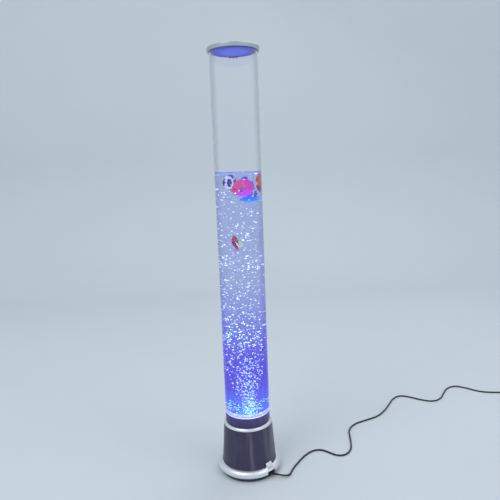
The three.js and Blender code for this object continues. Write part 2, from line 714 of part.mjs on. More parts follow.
// Tube floor, with a groove in its skirt for the seal
const sealHeight = skirtBottom + SEAL_HEIGHT_ABOVE_SKIRT;
const sealCentreRadius = floorRadius - SEAL_SINK;
function makeTubeFloor() {
  const nozzleHole = NOZZLE_SHANK_RADIUS + SEAT_GAP;
  const grooveHalf = SEAL_WIRE_RADIUS + SEAT_GAP;
  const grooveDepth = sealCentreRadius - SEAL_WIRE_RADIUS - SEAT_GAP;
  const skirtBore = floorRadius - FLOOR_SKIRT_WALL;
  return turned([
    [nozzleHole, floorUnderside],
    [skirtBore, floorUnderside],
    [skirtBore, skirtBottom],
    [floorRadius, skirtBottom],
    [floorRadius, sealHeight - grooveHalf],
    [grooveDepth, sealHeight - grooveHalf],
    [grooveDepth, sealHeight + grooveHalf],
    [floorRadius, sealHeight + grooveHalf],
    [floorRadius, floorTop],
    [nozzleHole, floorTop],
  ]);
}
addPiece('tube_floor', makeTubeFloor(), CLEAR_ACRYLIC);

// Seal ring in the skirt's groove
function makeFloorSeal() {
  const outline = [];
  for (const angle of spacedAngles(HOLE_SIDES)) {
    const radius = sealCentreRadius + SEAL_WIRE_RADIUS * Math.cos(angle) - SEAT_GAP;
    outline.push([radius, sealHeight + SEAL_WIRE_RADIUS * Math.sin(angle)]);
  }
  return turned(outline);
}
addPiece('floor_seal', makeFloorSeal(), BLACK_RUBBER);

// Air nozzle with its flange on the floor, and a spigot for the hose below
const nozzleFlangeBottom = floorTop + SEAT_GAP;
const nozzleFlangeTop = nozzleFlangeBottom + NOZZLE_FLANGE_HEIGHT;
const nozzleShankBottom = nozzleFlangeBottom - NOZZLE_SHANK_LENGTH;
const nozzleBottom = nozzleShankBottom - NOZZLE_SPIGOT_LENGTH;
addPiece('air_nozzle', turned([
  [NOZZLE_BORE_RADIUS, nozzleBottom],
  [NIPPLE_RADIUS, nozzleBottom],
  [NIPPLE_RADIUS, nozzleShankBottom],
  [NOZZLE_SHANK_RADIUS, nozzleShankBottom],
  [NOZZLE_SHANK_RADIUS, nozzleFlangeBottom],
  [NOZZLE_FLANGE_RADIUS, nozzleFlangeBottom],
  [NOZZLE_FLANGE_RADIUS, nozzleFlangeTop],
  [NOZZLE_BORE_RADIUS, nozzleFlangeTop],
], SMALL_SIDES), WHITE_PLASTIC);

const nutTop = floorUnderside - SEAT_GAP;
const nutBlank = rod(NUT_RADIUS, nutTop - NUT_HEIGHT, nutTop, HOLE_SIDES);
const nutBore = rod(NOZZLE_SHANK_RADIUS + SEAT_GAP, nutTop - NUT_HEIGHT - OVERRUN, nutTop + OVERRUN);
addPiece('nozzle_nut', cut(nutBlank, nutBore), WHITE_PLASTIC);

// Perforated disc on a lip that leaves an air space over the floor
const discLipBottom = floorTop + SEAT_GAP;
const discUnderside = discLipBottom + DISC_LIP_HEIGHT;
const discTop = discUnderside + DISC_THICKNESS;
function makeBubbleDisc() {
  const disc = turned([
    [0, discUnderside],
    [floorRadius - DISC_LIP_WALL, discUnderside],
    [floorRadius - DISC_LIP_WALL, discLipBottom],
    [floorRadius, discLipBottom],
    [floorRadius, discTop],
    [0, discTop],
  ]);
  const holes = [];
  const hole = rod(DISC_HOLE_RADIUS, discUnderside - OVERRUN, discTop + OVERRUN, HOLE_SIDES);
  DISC_HOLE_COUNTS.forEach((count, ring) => {
    for (const angle of spacedAngles(count, ring)) {
      holes.push(around(hole, DISC_HOLE_RING_PITCH * (ring + 1), angle));
    }
  });
  return cut(disc, ...holes);
}
addPiece('bubble_disc', makeBubbleDisc(), WHITE_PLASTIC);

// Light tray: a plate under the shoulder with a reflector cup that rises into the neck
function makeLightTray() {
  const cupBore = trayCupRadius - TRAY_CUP_WALL;
  const tray = turned([
    [TRAY_HOLE_RADIUS, trayBottom],
    [trayRadius, trayBottom],
    [trayRadius, trayTop],
    [trayCupRadius, trayTop],
    [trayCupRadius, trayCupTop],
    [cupBore, trayCupTop],
    [cupBore, trayTop],
    [TRAY_HOLE_RADIUS, trayTop],
  ]);
  const hole = rod(TRAY_SCREW_RADIUS + SEAT_GAP, trayBottom - OVERRUN, trayTop + OVERRUN, FINE_SIDES);
  const holes = trayScrewAngles.map((angle) => around(hole, trayScrewCircle, angle));
  return cut(tray, ...holes);
}
addPiece('light_tray', makeLightTray(), WHITE_PLASTIC);

// Screws up through the tray into the shoulder
const trayScrewLength = TRAY_THICKNESS + SEAT_GAP * 2 + TRAY_SCREW_BITE - SEAT_GAP;
trayScrewAngles.forEach((angle, i) => {
  const geometry = upwardScrew(
    TRAY_SCREW_HEAD_RADIUS, TRAY_SCREW_HEAD_HEIGHT, TRAY_SCREW_RADIUS, trayScrewLength, HOLE_SIDES,
  );
  const screw = addPiece(`tray_screw_${i + 1}`, geometry, ZINC_STEEL);
  const x = trayScrewCircle * Math.cos(angle);
  const y = trayScrewCircle * Math.sin(angle);
  screw.position.set(x, y, trayBottom - SEAT_GAP);
});

// Light board, a ring that lies on the tray inside the cup
addPiece('light_board', turned([
  [LIGHT_BOARD_HOLE_RADIUS, lightBoardBottom],
  [lightBoardRadius, lightBoardBottom],
  [lightBoardRadius, lightBoardTop],
  [LIGHT_BOARD_HOLE_RADIUS, lightBoardTop],
]), GREEN_BOARD);

// Lights: a rim, a short body and a domed lens
function makeLed() {
  const bodyTop = LED_RIM_HEIGHT + LED_BODY_HEIGHT;
  return turned([
    [0, 0],
    [LED_RIM_RADIUS, 0],
    [LED_RIM_RADIUS, LED_RIM_HEIGHT],
    [LED_RADIUS, LED_RIM_HEIGHT],
    ...roundPoints(0, bodyTop, LED_RADIUS, LED_RADIUS, 0, 1),
  ], FINE_SIDES);
}
spacedAngles(LED_COUNT, Math.PI / LED_COUNT).forEach((angle, i) => {
  const led = addPiece(`led_${i + 1}`, makeLed(), CLEAR_ACRYLIC);
  const x = ledCircle * Math.cos(angle);
  const y = ledCircle * Math.sin(angle);
  led.position.set(x, y, lightBoardTop + SEAT_GAP);
});

// Control board with its sockets, chip and capacitor
const boardLow = [
  CONTROL_BOARD_CENTRE_X - CONTROL_BOARD_LENGTH / 2,
  CONTROL_BOARD_CENTRE_Y - CONTROL_BOARD_WIDTH / 2,
];
const boardHigh = [boardLow[0] + CONTROL_BOARD_LENGTH, boardLow[1] + CONTROL_BOARD_WIDTH];
const socketY = boardHigh[1] - SOCKET_DEPTH;
const lightSocketX = boardLow[0] + POST_INSET;
const pumpSocketX = lightSocketX + SOCKET_WIDTH * 2;
const supplySocketX = boardHigh[0] - SOCKET_WIDTH - POST_INSET / 2;
const supplySocketY = boardLow[1] + POST_INSET / 2;
function makeControlBoard() {
  const sunk = controlBoardTop - BOARD_THICKNESS / 2;
  const board = block([...boardLow, controlBoardBottom], [...boardHigh, controlBoardTop]);
  const parts = [];
  for (const x of [lightSocketX, pumpSocketX]) {
    const low = [x, socketY, sunk];
    const high = [x + SOCKET_WIDTH, socketY + SOCKET_DEPTH, controlBoardTop + SOCKET_HEIGHT];
    parts.push(block(low, high));
  }
  const supplyHigh = [supplySocketX + SOCKET_WIDTH, supplySocketY + SUPPLY_SOCKET_DEPTH];
  parts.push(block(
    [supplySocketX, supplySocketY, sunk],
    [...supplyHigh, controlBoardTop + SUPPLY_SOCKET_HEIGHT],
  ));
  const chipLow = [CONTROL_BOARD_CENTRE_X - CHIP_LENGTH / 2, CONTROL_BOARD_CENTRE_Y - CHIP_WIDTH / 2];
  const chipHigh = [chipLow[0] + CHIP_LENGTH, chipLow[1] + CHIP_WIDTH];
  parts.push(block([...chipLow, sunk], [...chipHigh, controlBoardTop + CHIP_HEIGHT]));
  const canX = CONTROL_BOARD_CENTRE_X - CHIP_LENGTH;
  const canY = boardLow[1] + POST_INSET + CAPACITOR_RADIUS / 2;
  parts.push(moved(rod(CAPACITOR_RADIUS, sunk, controlBoardTop + CAPACITOR_HEIGHT, FINE_SIDES), canX, canY));
  const hole = rod(BOARD_SCREW_RADIUS + SEAT_GAP, controlBoardBottom - OVERRUN, sunk + OVERRUN, HOLE_SIDES);
  const holes = postPlaces.map(([x, y]) => moved(hole, x, y));
  return cut(join(board, ...parts), ...holes);
}
addPiece('control_board', makeControlBoard(), GREEN_BOARD);

// Screws down through the control board into its posts
const boardScrewLength = BOARD_THICKNESS + SEAT_GAP + BOARD_SCREW_BITE;
postPlaces.forEach(([x, y], i) => {
  const geometry = upwardScrew(
    BOARD_SCREW_HEAD_RADIUS, BOARD_SCREW_HEAD_HEIGHT, BOARD_SCREW_RADIUS, boardScrewLength, HOLE_SIDES,
  );
  const screw = addPiece(`board_screw_${i + 1}`, geometry, ZINC_STEEL);
  screw.rotation.set(Math.PI, 0, 0);
  screw.position.set(x, y, controlBoardTop + SEAT_GAP);
});

// Push switch, built along Z here and turned so that Z points out of the back of the lamp
const switchGroup = new THREE.Group();
switchGroup.rotation.set(-Math.PI / 2, 0, 0);
switchGroup.position.set(0, 0, switchHeight);
lamp.add(switchGroup);
const switchRingBottom = sideRadius(switchHeight - SWITCH_RING_RADIUS) + SEAT_GAP;
const switchRingTop = switchRingBottom + SWITCH_RING_THICKNESS;
const bushTop = switchRingTop - SWITCH_RING_THICKNESS + SWITCH_BUSH_PROUD;
const wallInside = sideRadius(switchHeight + SWITCH_COLLAR_RADIUS) - SHELL_WALL;
const collarTop = Math.sqrt(wallInside ** 2 - SWITCH_COLLAR_RADIUS ** 2) - SEAT_GAP;
const switchBoxTop = collarTop - SWITCH_COLLAR_THICKNESS;
const switchBoxBottom = switchBoxTop - SWITCH_BOX_LENGTH;
const springBottom = switchBoxBottom + SWITCH_BOX_WALL + SEAT_GAP;
const buttonTop = bushTop + BUTTON_PROUD;
const buttonBottom = buttonTop - BUTTON_LENGTH;
function makeSwitchBody() {
  const half = SWITCH_BOX_SIDE / 2;
  const box = block([-half, -half, switchBoxBottom], [half, half, switchBoxTop]);
  const collar = rod(SWITCH_COLLAR_RADIUS, switchBoxTop - SEAT_GAP, collarTop);
  const bush = rod(SWITCH_BUSH_RADIUS, switchBoxTop, bushTop);
  const bore = rod(SWITCH_BORE_RADIUS, switchBoxBottom + SWITCH_BOX_WALL, bushTop + OVERRUN);
  return cut(join(box, collar, bush), bore);
}
addPiece('switch_body', makeSwitchBody(), BLACK_PLASTIC, switchGroup);
addPiece('switch_ring', turned([
  [SWITCH_BUSH_RADIUS + SEAT_GAP, switchRingBottom],
  [SWITCH_RING_RADIUS, switchRingBottom],
  [SWITCH_RING_RADIUS, switchRingTop - SWITCH_RING_THICKNESS / 2],
  [SWITCH_RING_RADIUS - SWITCH_RING_THICKNESS / 2, switchRingTop],
  [SWITCH_BUSH_RADIUS + SEAT_GAP, switchRingTop],
], SMALL_SIDES), BRIGHT_METAL, switchGroup);
addPiece('power_button', turned([
  [0, buttonBottom],
  [BUTTON_RADIUS, buttonBottom],
  ...roundPoints(0, buttonTop - BUTTON_DOME, BUTTON_RADIUS, BUTTON_DOME, 0, 1),
], SMALL_SIDES), BLACK_PLASTIC, switchGroup);

// Spring behind the button
function makeButtonSpring() {
  const bottom = springBottom + SPRING_WIRE_RADIUS;
  const top = buttonBottom - SEAT_GAP - SPRING_WIRE_RADIUS;
  const points = [];
  const steps = Math.round(SPRING_TURN_COUNT * SPRING_TURN_STEPS);
  for (let step = 0; step <= steps; step += 1) {
    const angle = (step / SPRING_TURN_STEPS) * Math.PI * 2;
    const height = bottom + ((top - bottom) * step) / steps;
    points.push([SPRING_COIL_RADIUS * Math.cos(angle), SPRING_COIL_RADIUS * Math.sin(angle), height]);
  }
  return tubeAlong(points, SPRING_WIRE_RADIUS, SPRING_SIDES, steps);
}
addPiece('button_spring', makeButtonSpring(), BRIGHT_METAL, switchGroup);

// Air pump frame: slab on the plate's pegs, deck blocks, and the post that the arm swings in
const magnetFace = ARM_PIVOT_X + ARM_LENGTH + SEAT_GAP + MAGNET_THICKNESS;
const coreLow = [magnetFace + POLE_GAP, ARM_PIVOT_Y - CORE_WIDTH / 2];
const coreHigh = [coreLow[0] + CORE_LENGTH, coreLow[1] + CORE_WIDTH];
const studX = ARM_PIVOT_X + ARM_STUD_DISTANCE;
const studEnd = ARM_PIVOT_Y + ARM_THICKNESS / 2 + ARM_STUD_LENGTH;
const bellowsStart = studEnd + SEAT_GAP;
const valveLow = [studX - VALVE_LENGTH / 2, bellowsStart + BELLOWS_LENGTH + SEAT_GAP];
const valveHigh = [valveLow[0] + VALVE_LENGTH, valveLow[1] + VALVE_DEPTH];
function makePumpFrame() {
  const slabLow = [PUMP_CENTRE_X - PUMP_SLAB_LENGTH / 2, PUMP_CENTRE_Y - PUMP_SLAB_WIDTH / 2];
  const slabHigh = [slabLow[0] + PUMP_SLAB_LENGTH, slabLow[1] + PUMP_SLAB_WIDTH];
  const sunk = slabTop - PUMP_SLAB_THICKNESS / 2;
  const base = block([...slabLow, slabBottom], [...slabHigh, slabTop]);
  const half = HINGE_POST_SIDE / 2;
  const postTop = armTop + ARM_PIN_OVERHANG + SEAT_GAP;
  const post = block(
    [ARM_PIVOT_X - half, ARM_PIVOT_Y - half, sunk],
    [ARM_PIVOT_X + half, ARM_PIVOT_Y + half, postTop],
  );
  const pads = [
    block([...coreLow, sunk], [coreHigh[0], coreLow[1] + PAD_WIDTH, deckTop]),
    block([coreLow[0], coreHigh[1] - PAD_WIDTH, sunk], [...coreHigh, deckTop]),
    block([valveLow[0], valveLow[1], sunk], [valveHigh[0], valveLow[1] + PAD_WIDTH, deckTop]),
  ];
  const boreBottom = armBottom - ARM_PIN_OVERHANG - SEAT_GAP;
  const bore = rod(ARM_PIN_RADIUS + PIN_CLEARANCE, boreBottom, postTop + OVERRUN);
  const slot = block(
    [ARM_PIVOT_X, ARM_PIVOT_Y - HINGE_SLOT_HALF_WIDTH, armBottom - SEAT_GAP],
    [ARM_PIVOT_X + half + OVERRUN, ARM_PIVOT_Y + HINGE_SLOT_HALF_WIDTH, postTop + OVERRUN],
  );
  const pegHole = rod(PUMP_PEG_RADIUS + SEAT_GAP, slabBottom - OVERRUN, slabTop + OVERRUN, FINE_SIDES);
  const pegHoles = pegPlaces.map(([x, y]) => moved(pegHole, x, y));
  return cut(join(base, post, ...pads), moved(bore, ARM_PIVOT_X, ARM_PIVOT_Y), slot, ...pegHoles);
}
addPiece('pump_frame', makePumpFrame(), GREY_PLASTIC);

// Laminated core with three legs, and the winding on its middle leg
const coreOutline = [
  [coreLow[0], coreLow[1]],
  [coreHigh[0], coreLow[1]],
  [coreHigh[0], coreHigh[1]],
  [coreLow[0], coreHigh[1]],
  [coreLow[0], coreHigh[1] - CORE_LEG],
  [coreHigh[0] - CORE_LEG, coreHigh[1] - CORE_LEG],
  [coreHigh[0] - CORE_LEG, ARM_PIVOT_Y + CORE_LEG / 2],
  [coreLow[0], ARM_PIVOT_Y + CORE_LEG / 2],
  [coreLow[0], ARM_PIVOT_Y - CORE_LEG / 2],
  [coreHigh[0] - CORE_LEG, ARM_PIVOT_Y - CORE_LEG / 2],
  [coreHigh[0] - CORE_LEG, coreLow[1] + CORE_LEG],
  [coreLow[0], coreLow[1] + CORE_LEG],
];
addPiece('coil_core', moved(slab(coreOutline, ARM_HEIGHT), 0, 0, armBottom), FERRITE);

function makeCoilWinding() {
  const nearX = coreLow[0] + WINDING_END_GAP;
  const farX = coreHigh[0] - CORE_LEG - WINDING_END_GAP;
  const boreHalfY = CORE_LEG / 2 + SEAT_GAP;
  const boreBottom = armBottom - SEAT_GAP;
  const boreTop = armTop + SEAT_GAP;
  const outer = block(
    [nearX, ARM_PIVOT_Y - boreHalfY - WINDING_WALL, boreBottom - WINDING_WALL],
    [farX, ARM_PIVOT_Y + boreHalfY + WINDING_WALL, boreTop + WINDING_WALL],
  );
  const bore = block(
    [nearX - OVERRUN, ARM_PIVOT_Y - boreHalfY, boreBottom],
    [farX + OVERRUN, ARM_PIVOT_Y + boreHalfY, boreTop],
  );
  return cut(outer, bore);
}
addPiece('coil_winding', makeCoilWinding(), COPPER_WINDING);

// Swing arm on its pin, with the stud that works the bellows, and the magnet at its end
function makeSwingArm() {
  const halfThickness = ARM_THICKNESS / 2;
  const strip = block([0, -halfThickness, 0], [ARM_LENGTH, halfThickness, ARM_HEIGHT]);
  const pin = rod(ARM_PIN_RADIUS, -ARM_PIN_OVERHANG, ARM_HEIGHT + ARM_PIN_OVERHANG, FINE_SIDES);
  const stud = rod(ARM_STUD_RADIUS, 0, halfThickness + ARM_STUD_LENGTH, FINE_SIDES);
  stud.rotateX(-Math.PI / 2);
  stud.translate(ARM_STUD_DISTANCE, 0, ARM_HEIGHT / 2);
  return join(strip, pin, stud);
}
const armGroup = new THREE.Group();
armGroup.position.set(ARM_PIVOT_X, ARM_PIVOT_Y, armBottom);
lamp.add(armGroup);
addPiece('swing_arm', makeSwingArm(), ZINC_STEEL, armGroup);
const magnetLow = [ARM_LENGTH + SEAT_GAP, -MAGNET_WIDTH / 2, 0];
const magnetHigh = [magnetLow[0] + MAGNET_THICKNESS, MAGNET_WIDTH / 2, ARM_HEIGHT];
addPiece('arm_magnet', block(magnetLow, magnetHigh), FERRITE, armGroup);

// Bellows: a folded rubber cup whose mouth lies on the valve chamber
function makeBellows() {
  const fold = BELLOWS_RADIUS + BELLOWS_FOLD;
  const geometry = turned([
    [0, 0],
    [BELLOWS_RADIUS, 0],
    [fold, BELLOWS_LENGTH / 3],
    [BELLOWS_RADIUS, BELLOWS_LENGTH * 2 / 3],
    [fold, BELLOWS_LENGTH],
    [fold - BELLOWS_WALL, BELLOWS_LENGTH],
    [BELLOWS_RADIUS - BELLOWS_WALL, BELLOWS_LENGTH * 2 / 3],
    [BELLOWS_RADIUS - BELLOWS_WALL, BELLOWS_WALL],
    [0, BELLOWS_WALL],
  ], SMALL_SIDES);
  geometry.rotateX(-Math.PI / 2);
  geometry.translate(studX, bellowsStart, armBottom + ARM_HEIGHT / 2);
  return geometry;
}
addPiece('bellows', makeBellows(), BLACK_RUBBER);

// Valve chamber with the nipple that the hose fits on
const nippleX = studX;
const nippleY = (valveLow[1] + valveHigh[1]) / 2;
const nippleTop = armTop + NIPPLE_LENGTH;
const chamber = block([...valveLow, armBottom], [...valveHigh, armTop]);
const nipple = rod(NIPPLE_RADIUS, armTop - SEAT_GAP, nippleTop, FINE_SIDES);
addPiece('valve_chamber', join(chamber, moved(nipple, nippleX, nippleY)), GREY_PLASTIC);

// Check valve on the axis, and the two hoses that fit over its nipples
const checkTop = nozzleBottom - CHECK_VALVE_BELOW_NOZZLE - CHECK_VALVE_NIPPLE_LENGTH;
const checkBottom = checkTop - CHECK_VALVE_LENGTH;
const checkBottomTip = checkBottom - CHECK_VALVE_NIPPLE_LENGTH;
const checkTopTip = checkTop + CHECK_VALVE_NIPPLE_LENGTH;
addPiece('check_valve', turned([
  [0, checkBottomTip],
  [NIPPLE_RADIUS, checkBottomTip],
  [NIPPLE_RADIUS, checkBottom],
  [CHECK_VALVE_RADIUS, checkBottom],
  [CHECK_VALVE_RADIUS, checkTop],
  [NIPPLE_RADIUS, checkTop],
  [NIPPLE_RADIUS, checkTopTip],
  [0, checkTopTip],
], FINE_SIDES), WHITE_PLASTIC);

const hoseBottom = nippleTop - HOSE_LAP;
const hoseTop = checkBottomTip + HOSE_LAP;
const hosePoints = [
  [nippleX, nippleY, hoseBottom],
  [nippleX, nippleY, nippleTop],
  ...HOSE_BEND_SHARES.map(([out, up]) => [
    nippleX * out,
    nippleY * out,
    nippleTop + (checkBottomTip - nippleTop) * up,
  ]),
  [0, 0, checkBottomTip],
  [0, 0, hoseTop],
];
const lowerHose = tubeAlong(hosePoints, HOSE_OUTER_RADIUS, FINE_SIDES, LEAD_STEPS, HOSE_INNER_RADIUS);
addPiece('air_hose', lowerHose, CLEAR_SILICONE);

const upperHoseBottom = checkTopTip - HOSE_LAP;
const upperHoseTop = nozzleBottom + HOSE_LAP;
addPiece('air_hose_upper', turned([
  [HOSE_INNER_RADIUS, upperHoseBottom],
  [HOSE_OUTER_RADIUS, upperHoseBottom],
  [HOSE_OUTER_RADIUS, upperHoseTop],
  [HOSE_INNER_RADIUS, upperHoseTop],
], FINE_SIDES), CLEAR_SILICONE);

// Leads from the control board to the lights, to the pump and to the strain relief
const socketTop = controlBoardTop + SOCKET_HEIGHT + SEAT_GAP;
const socketMiddleY = socketY + SOCKET_DEPTH / 2;
const lightLeadX = lightSocketX + SOCKET_WIDTH / 2;
const lightLeadTopX = -(LIGHT_BOARD_HOLE_RADIUS - LEAD_RADIUS - SEAT_GAP);
addPiece('light_lead', tubeAlong([
  [lightLeadX, socketMiddleY, socketTop],
  [lightLeadX, socketMiddleY, socketTop + LEAD_LOOP_HEIGHT],
  [(lightLeadX + lightLeadTopX) / 2, socketMiddleY / 2, socketTop + LEAD_LOOP_HEIGHT * 3],
  [lightLeadTopX, 0, checkBottom - LEAD_LOOP_HEIGHT],
  [lightLeadTopX, 0, lightBoardBottom + BOARD_THICKNESS / 2],
], LEAD_RADIUS, LEAD_SIDES, LEAD_STEPS), BLACK_PLASTIC);

const windingTop = armTop + SEAT_GAP + WINDING_WALL;
const windingX = (coreLow[0] + coreHigh[0]) / 2;
const windingY = ARM_PIVOT_Y - CORE_LEG / 2 - WINDING_WALL / 2;
const pumpLeadX = pumpSocketX + SOCKET_WIDTH / 2;
addPiece('pump_lead', tubeAlong([
  [pumpLeadX, socketMiddleY, socketTop],
  [pumpLeadX, socketMiddleY, socketTop + LEAD_LOOP_HEIGHT],
  [(pumpLeadX + windingX) / 2, (socketMiddleY + windingY) / 2, windingTop + LEAD_LOOP_HEIGHT],
  [windingX, windingY, windingTop + LEAD_LOOP_HEIGHT],
  [windingX, windingY, windingTop + SEAT_GAP],
], LEAD_RADIUS, LEAD_SIDES, LEAD_STEPS), BLACK_PLASTIC);

const supplyStart = glandInner - SEAT_GAP;
const supplyTop = controlBoardTop + SUPPLY_SOCKET_HEIGHT + SEAT_GAP;
const supplyX = supplySocketX + SOCKET_WIDTH / 2;
const supplyY = supplySocketY + SUPPLY_SOCKET_DEPTH / 2;
const supplyRun = supplyStart - LEAD_LOOP_HEIGHT;
addPiece('supply_lead', tubeAlong([
  [supplyStart * Math.cos(CORD_EXIT_ANGLE), supplyStart * Math.sin(CORD_EXIT_ANGLE), GLAND_HEIGHT],
  [supplyRun * Math.cos(CORD_EXIT_ANGLE), supplyRun * Math.sin(CORD_EXIT_ANGLE), GLAND_HEIGHT + LEAD_RADIUS],
  [supplyX + LEAD_LOOP_HEIGHT, supplyY - LEAD_RADIUS, supplyTop + LEAD_LOOP_HEIGHT / 2],
  [supplyX, supplyY, supplyTop + LEAD_LOOP_HEIGHT],
  [supplyX, supplyY, supplyTop],
], LEAD_RADIUS, LEAD_SIDES, LEAD_STEPS), BLACK_PLASTIC);

// Strain relief: a block held in the notch, with a tapered nose turned towards the lead's side
const glandBlockOuter = glandInner + GLAND_BLOCK_DEPTH;
const noseRootDepth = GLAND_NOSE_ROOT_RADIUS * Math.sin(GLAND_NOSE_TURN) + SEAT_GAP;
const noseStart = glandBlockOuter - noseRootDepth;
const noseLength = GLAND_NOSE_LENGTH + noseRootDepth;
function makeCordGland() {
  const width = NOTCH_WIDTH - SEAT_GAP * 2;
  const body = block(
    [glandInner, -width / 2, plateFloorTop + SEAT_GAP],
    [glandBlockOuter, width / 2, shellBottom - SEAT_GAP],
  );
  const nose = taperedRod(GLAND_NOSE_ROOT_RADIUS, cordRadius + SEAT_GAP, 0, noseLength);
  nose.rotateY(Math.PI / 2);
  nose.rotateZ(GLAND_NOSE_TURN);
  nose.translate(noseStart, 0, GLAND_HEIGHT);
  return join(body, nose).rotateZ(CORD_EXIT_ANGLE);
}
addPiece('cord_gland', makeCordGland(), BLACK_RUBBER);

// Route of the lead's open stretch along the surface, as it lies, from the relief to the coil
const surfaceHeight = cordRadius + CORD_LIFT;
const coilFloorHeight = cordRadius + COIL_LIFT;
const cordStart = noseLength + SEAT_GAP;
const straightEnd = cordStart + CORD_DIAMETER;
function pointFromNose(distance) {
  const turn = CORD_EXIT_ANGLE + GLAND_NOSE_TURN;
  return [
    noseStart * Math.cos(CORD_EXIT_ANGLE) + distance * Math.cos(turn),
    noseStart * Math.sin(CORD_EXIT_ANGLE) + distance * Math.sin(turn),
    GLAND_HEIGHT,
  ];
}
const cordRoute = [
  pointFromNose(cordStart),
  pointFromNose(straightEnd),
  [70.6, -57.2, 8],
  [76.3, -57.2, 7],
  [81.9, -55.1, 5.7],
  [86.6, -51, 4.3],
  [90.8, -43.6, 2.9],
  [95, -33, 2.3],
  [100.6, -21.6, surfaceHeight],
  [110.6, -5.5, surfaceHeight],
  [121.8, 11.5, surfaceHeight],
  [136, 29, surfaceHeight],
  [150.5, 41.5, surfaceHeight],
  [163, 46.5, surfaceHeight],
  [175, 45.5, surfaceHeight],
  [187, 37.5, surfaceHeight],
  [199.5, 26, surfaceHeight],
  [209.5, 19.8, surfaceHeight],
  [221.5, 19, surfaceHeight],
  [233.5, 25.5, surfaceHeight],
  [245, 42, surfaceHeight],
  [251.5, 66, surfaceHeight],
  [256, 98, surfaceHeight],
  [262, 132, surfaceHeight],
  [283, 161, surfaceHeight],
  [318, 180, surfaceHeight],
  [352, 198, surfaceHeight],
  [382, 229, surfaceHeight],
  [408, 268, surfaceHeight],
  [431, 300, surfaceHeight],
  [453, 313, surfaceHeight],
  [477, 304, surfaceHeight],
  [505, 283, surfaceHeight],
  [535, 272, surfaceHeight],
  [561, 285, surfaceHeight],
  [585, 318, surfaceHeight],
  [611, 350, surfaceHeight],
  [638, 361, surfaceHeight],
  [662, 348, surfaceHeight],
  [693, 320, surfaceHeight],
  [735, 308, surfaceHeight],
  [768, COIL_CENTRE_Y + COIL_OUTER_RADIUS, surfaceHeight + COIL_LIFT / 2],
  [COIL_CENTRE_X - CORD_DIAMETER - SEAT_GAP, COIL_CENTRE_Y + COIL_OUTER_RADIUS, coilFloorHeight],
];
addPiece('cord', tubeAlong(cordRoute, cordRadius, CORD_SIDES, CORD_STEPS), BLACK_PLASTIC);

// Coil of spare lead: it spirals in on the surface, climbs one layer and spirals out on top
const coilPitch = CORD_DIAMETER + COIL_TURN_GAP;
function coilPoint(loops) {
  const turnIn = COIL_IN_LOOP_COUNT;
  const turnOut = COIL_IN_LOOP_COUNT + COIL_CLIMB_LOOP_COUNT;
  const middle = (turnIn + turnOut) / 2;
  const inward = Math.min(loops, middle);
  const outward = Math.max(loops - middle, 0);
  const radius = COIL_OUTER_RADIUS - coilPitch * (inward - outward);
  const climb = THREE.MathUtils.smoothstep(loops, turnIn, turnOut);
  const angle = Math.PI / 2 - loops * Math.PI * 2;
  return [
    COIL_CENTRE_X + radius * Math.cos(angle),
    COIL_CENTRE_Y + radius * Math.sin(angle),
    coilFloorHeight + climb * coilPitch,
  ];
}

const coilLoops = COIL_IN_LOOP_COUNT + COIL_CLIMB_LOOP_COUNT + COIL_OUT_LOOP_COUNT;
const coilRoute = [];
for (let step = 0; step <= coilLoops * COIL_LOOP_STEPS; step += 1) {
  coilRoute.push(coilPoint(step / COIL_LOOP_STEPS));
}
const coilStart = coilRoute[0];
const coilEnd = coilRoute[coilRoute.length - 1];
coilRoute.unshift([coilStart[0] - CORD_DIAMETER, coilStart[1], coilStart[2]]);
coilRoute.push([coilEnd[0], coilEnd[1] - CORD_DIAMETER, coilEnd[2]]);
const coilSteps = coilRoute.length - 1;
addPiece('cord_coil', tubeAlong(coilRoute, cordRadius, COIL_SIDES, coilSteps), BLACK_PLASTIC);

// Least gap between turns of the coil that lie at least half a loop apart along it
function leastCoilGap() {
  const points = coilRoute.map((point) => new THREE.Vector3(...point));
  const apart = Math.round(COIL_LOOP_STEPS / 2);
  let least = Infinity;
  for (let i = 0; i < points.length; i += 1) {
    for (let j = i + apart; j < points.length; j += 1) {
      least = Math.min(least, points[i].distanceTo(points[j]) - CORD_DIAMETER);
    }
  }
  return least;
}
console.log(`least gap between turns of the coil: ${leastCoilGap().toFixed(2)} mm`);

// Last stretch of the lead, from the top of the coil down to the surface and up to the adaptor
const tailX = coilEnd[0];
const tailStartY = coilEnd[1] - CORD_DIAMETER - SEAT_GAP;
const reliefTipY = COIL_CENTRE_Y - ADAPTOR_DISTANCE;
const adaptorAxisHeight = ADAPTOR_THICKNESS / 2;
const tailRoute = [
  [tailX, tailStartY, coilEnd[2]],
  [tailX, 265, 6.9],
  [tailX, 249, 3.4],
  [tailX, 233, 3],
  [tailX, 219, 6.4],
  [tailX, 206, 10.8],
  [tailX, reliefTipY + SEAT_GAP, adaptorAxisHeight],
];
addPiece('cord_tail', tubeAlong(tailRoute, cordRadius, CORD_SIDES, TAIL_STEPS), BLACK_PLASTIC);

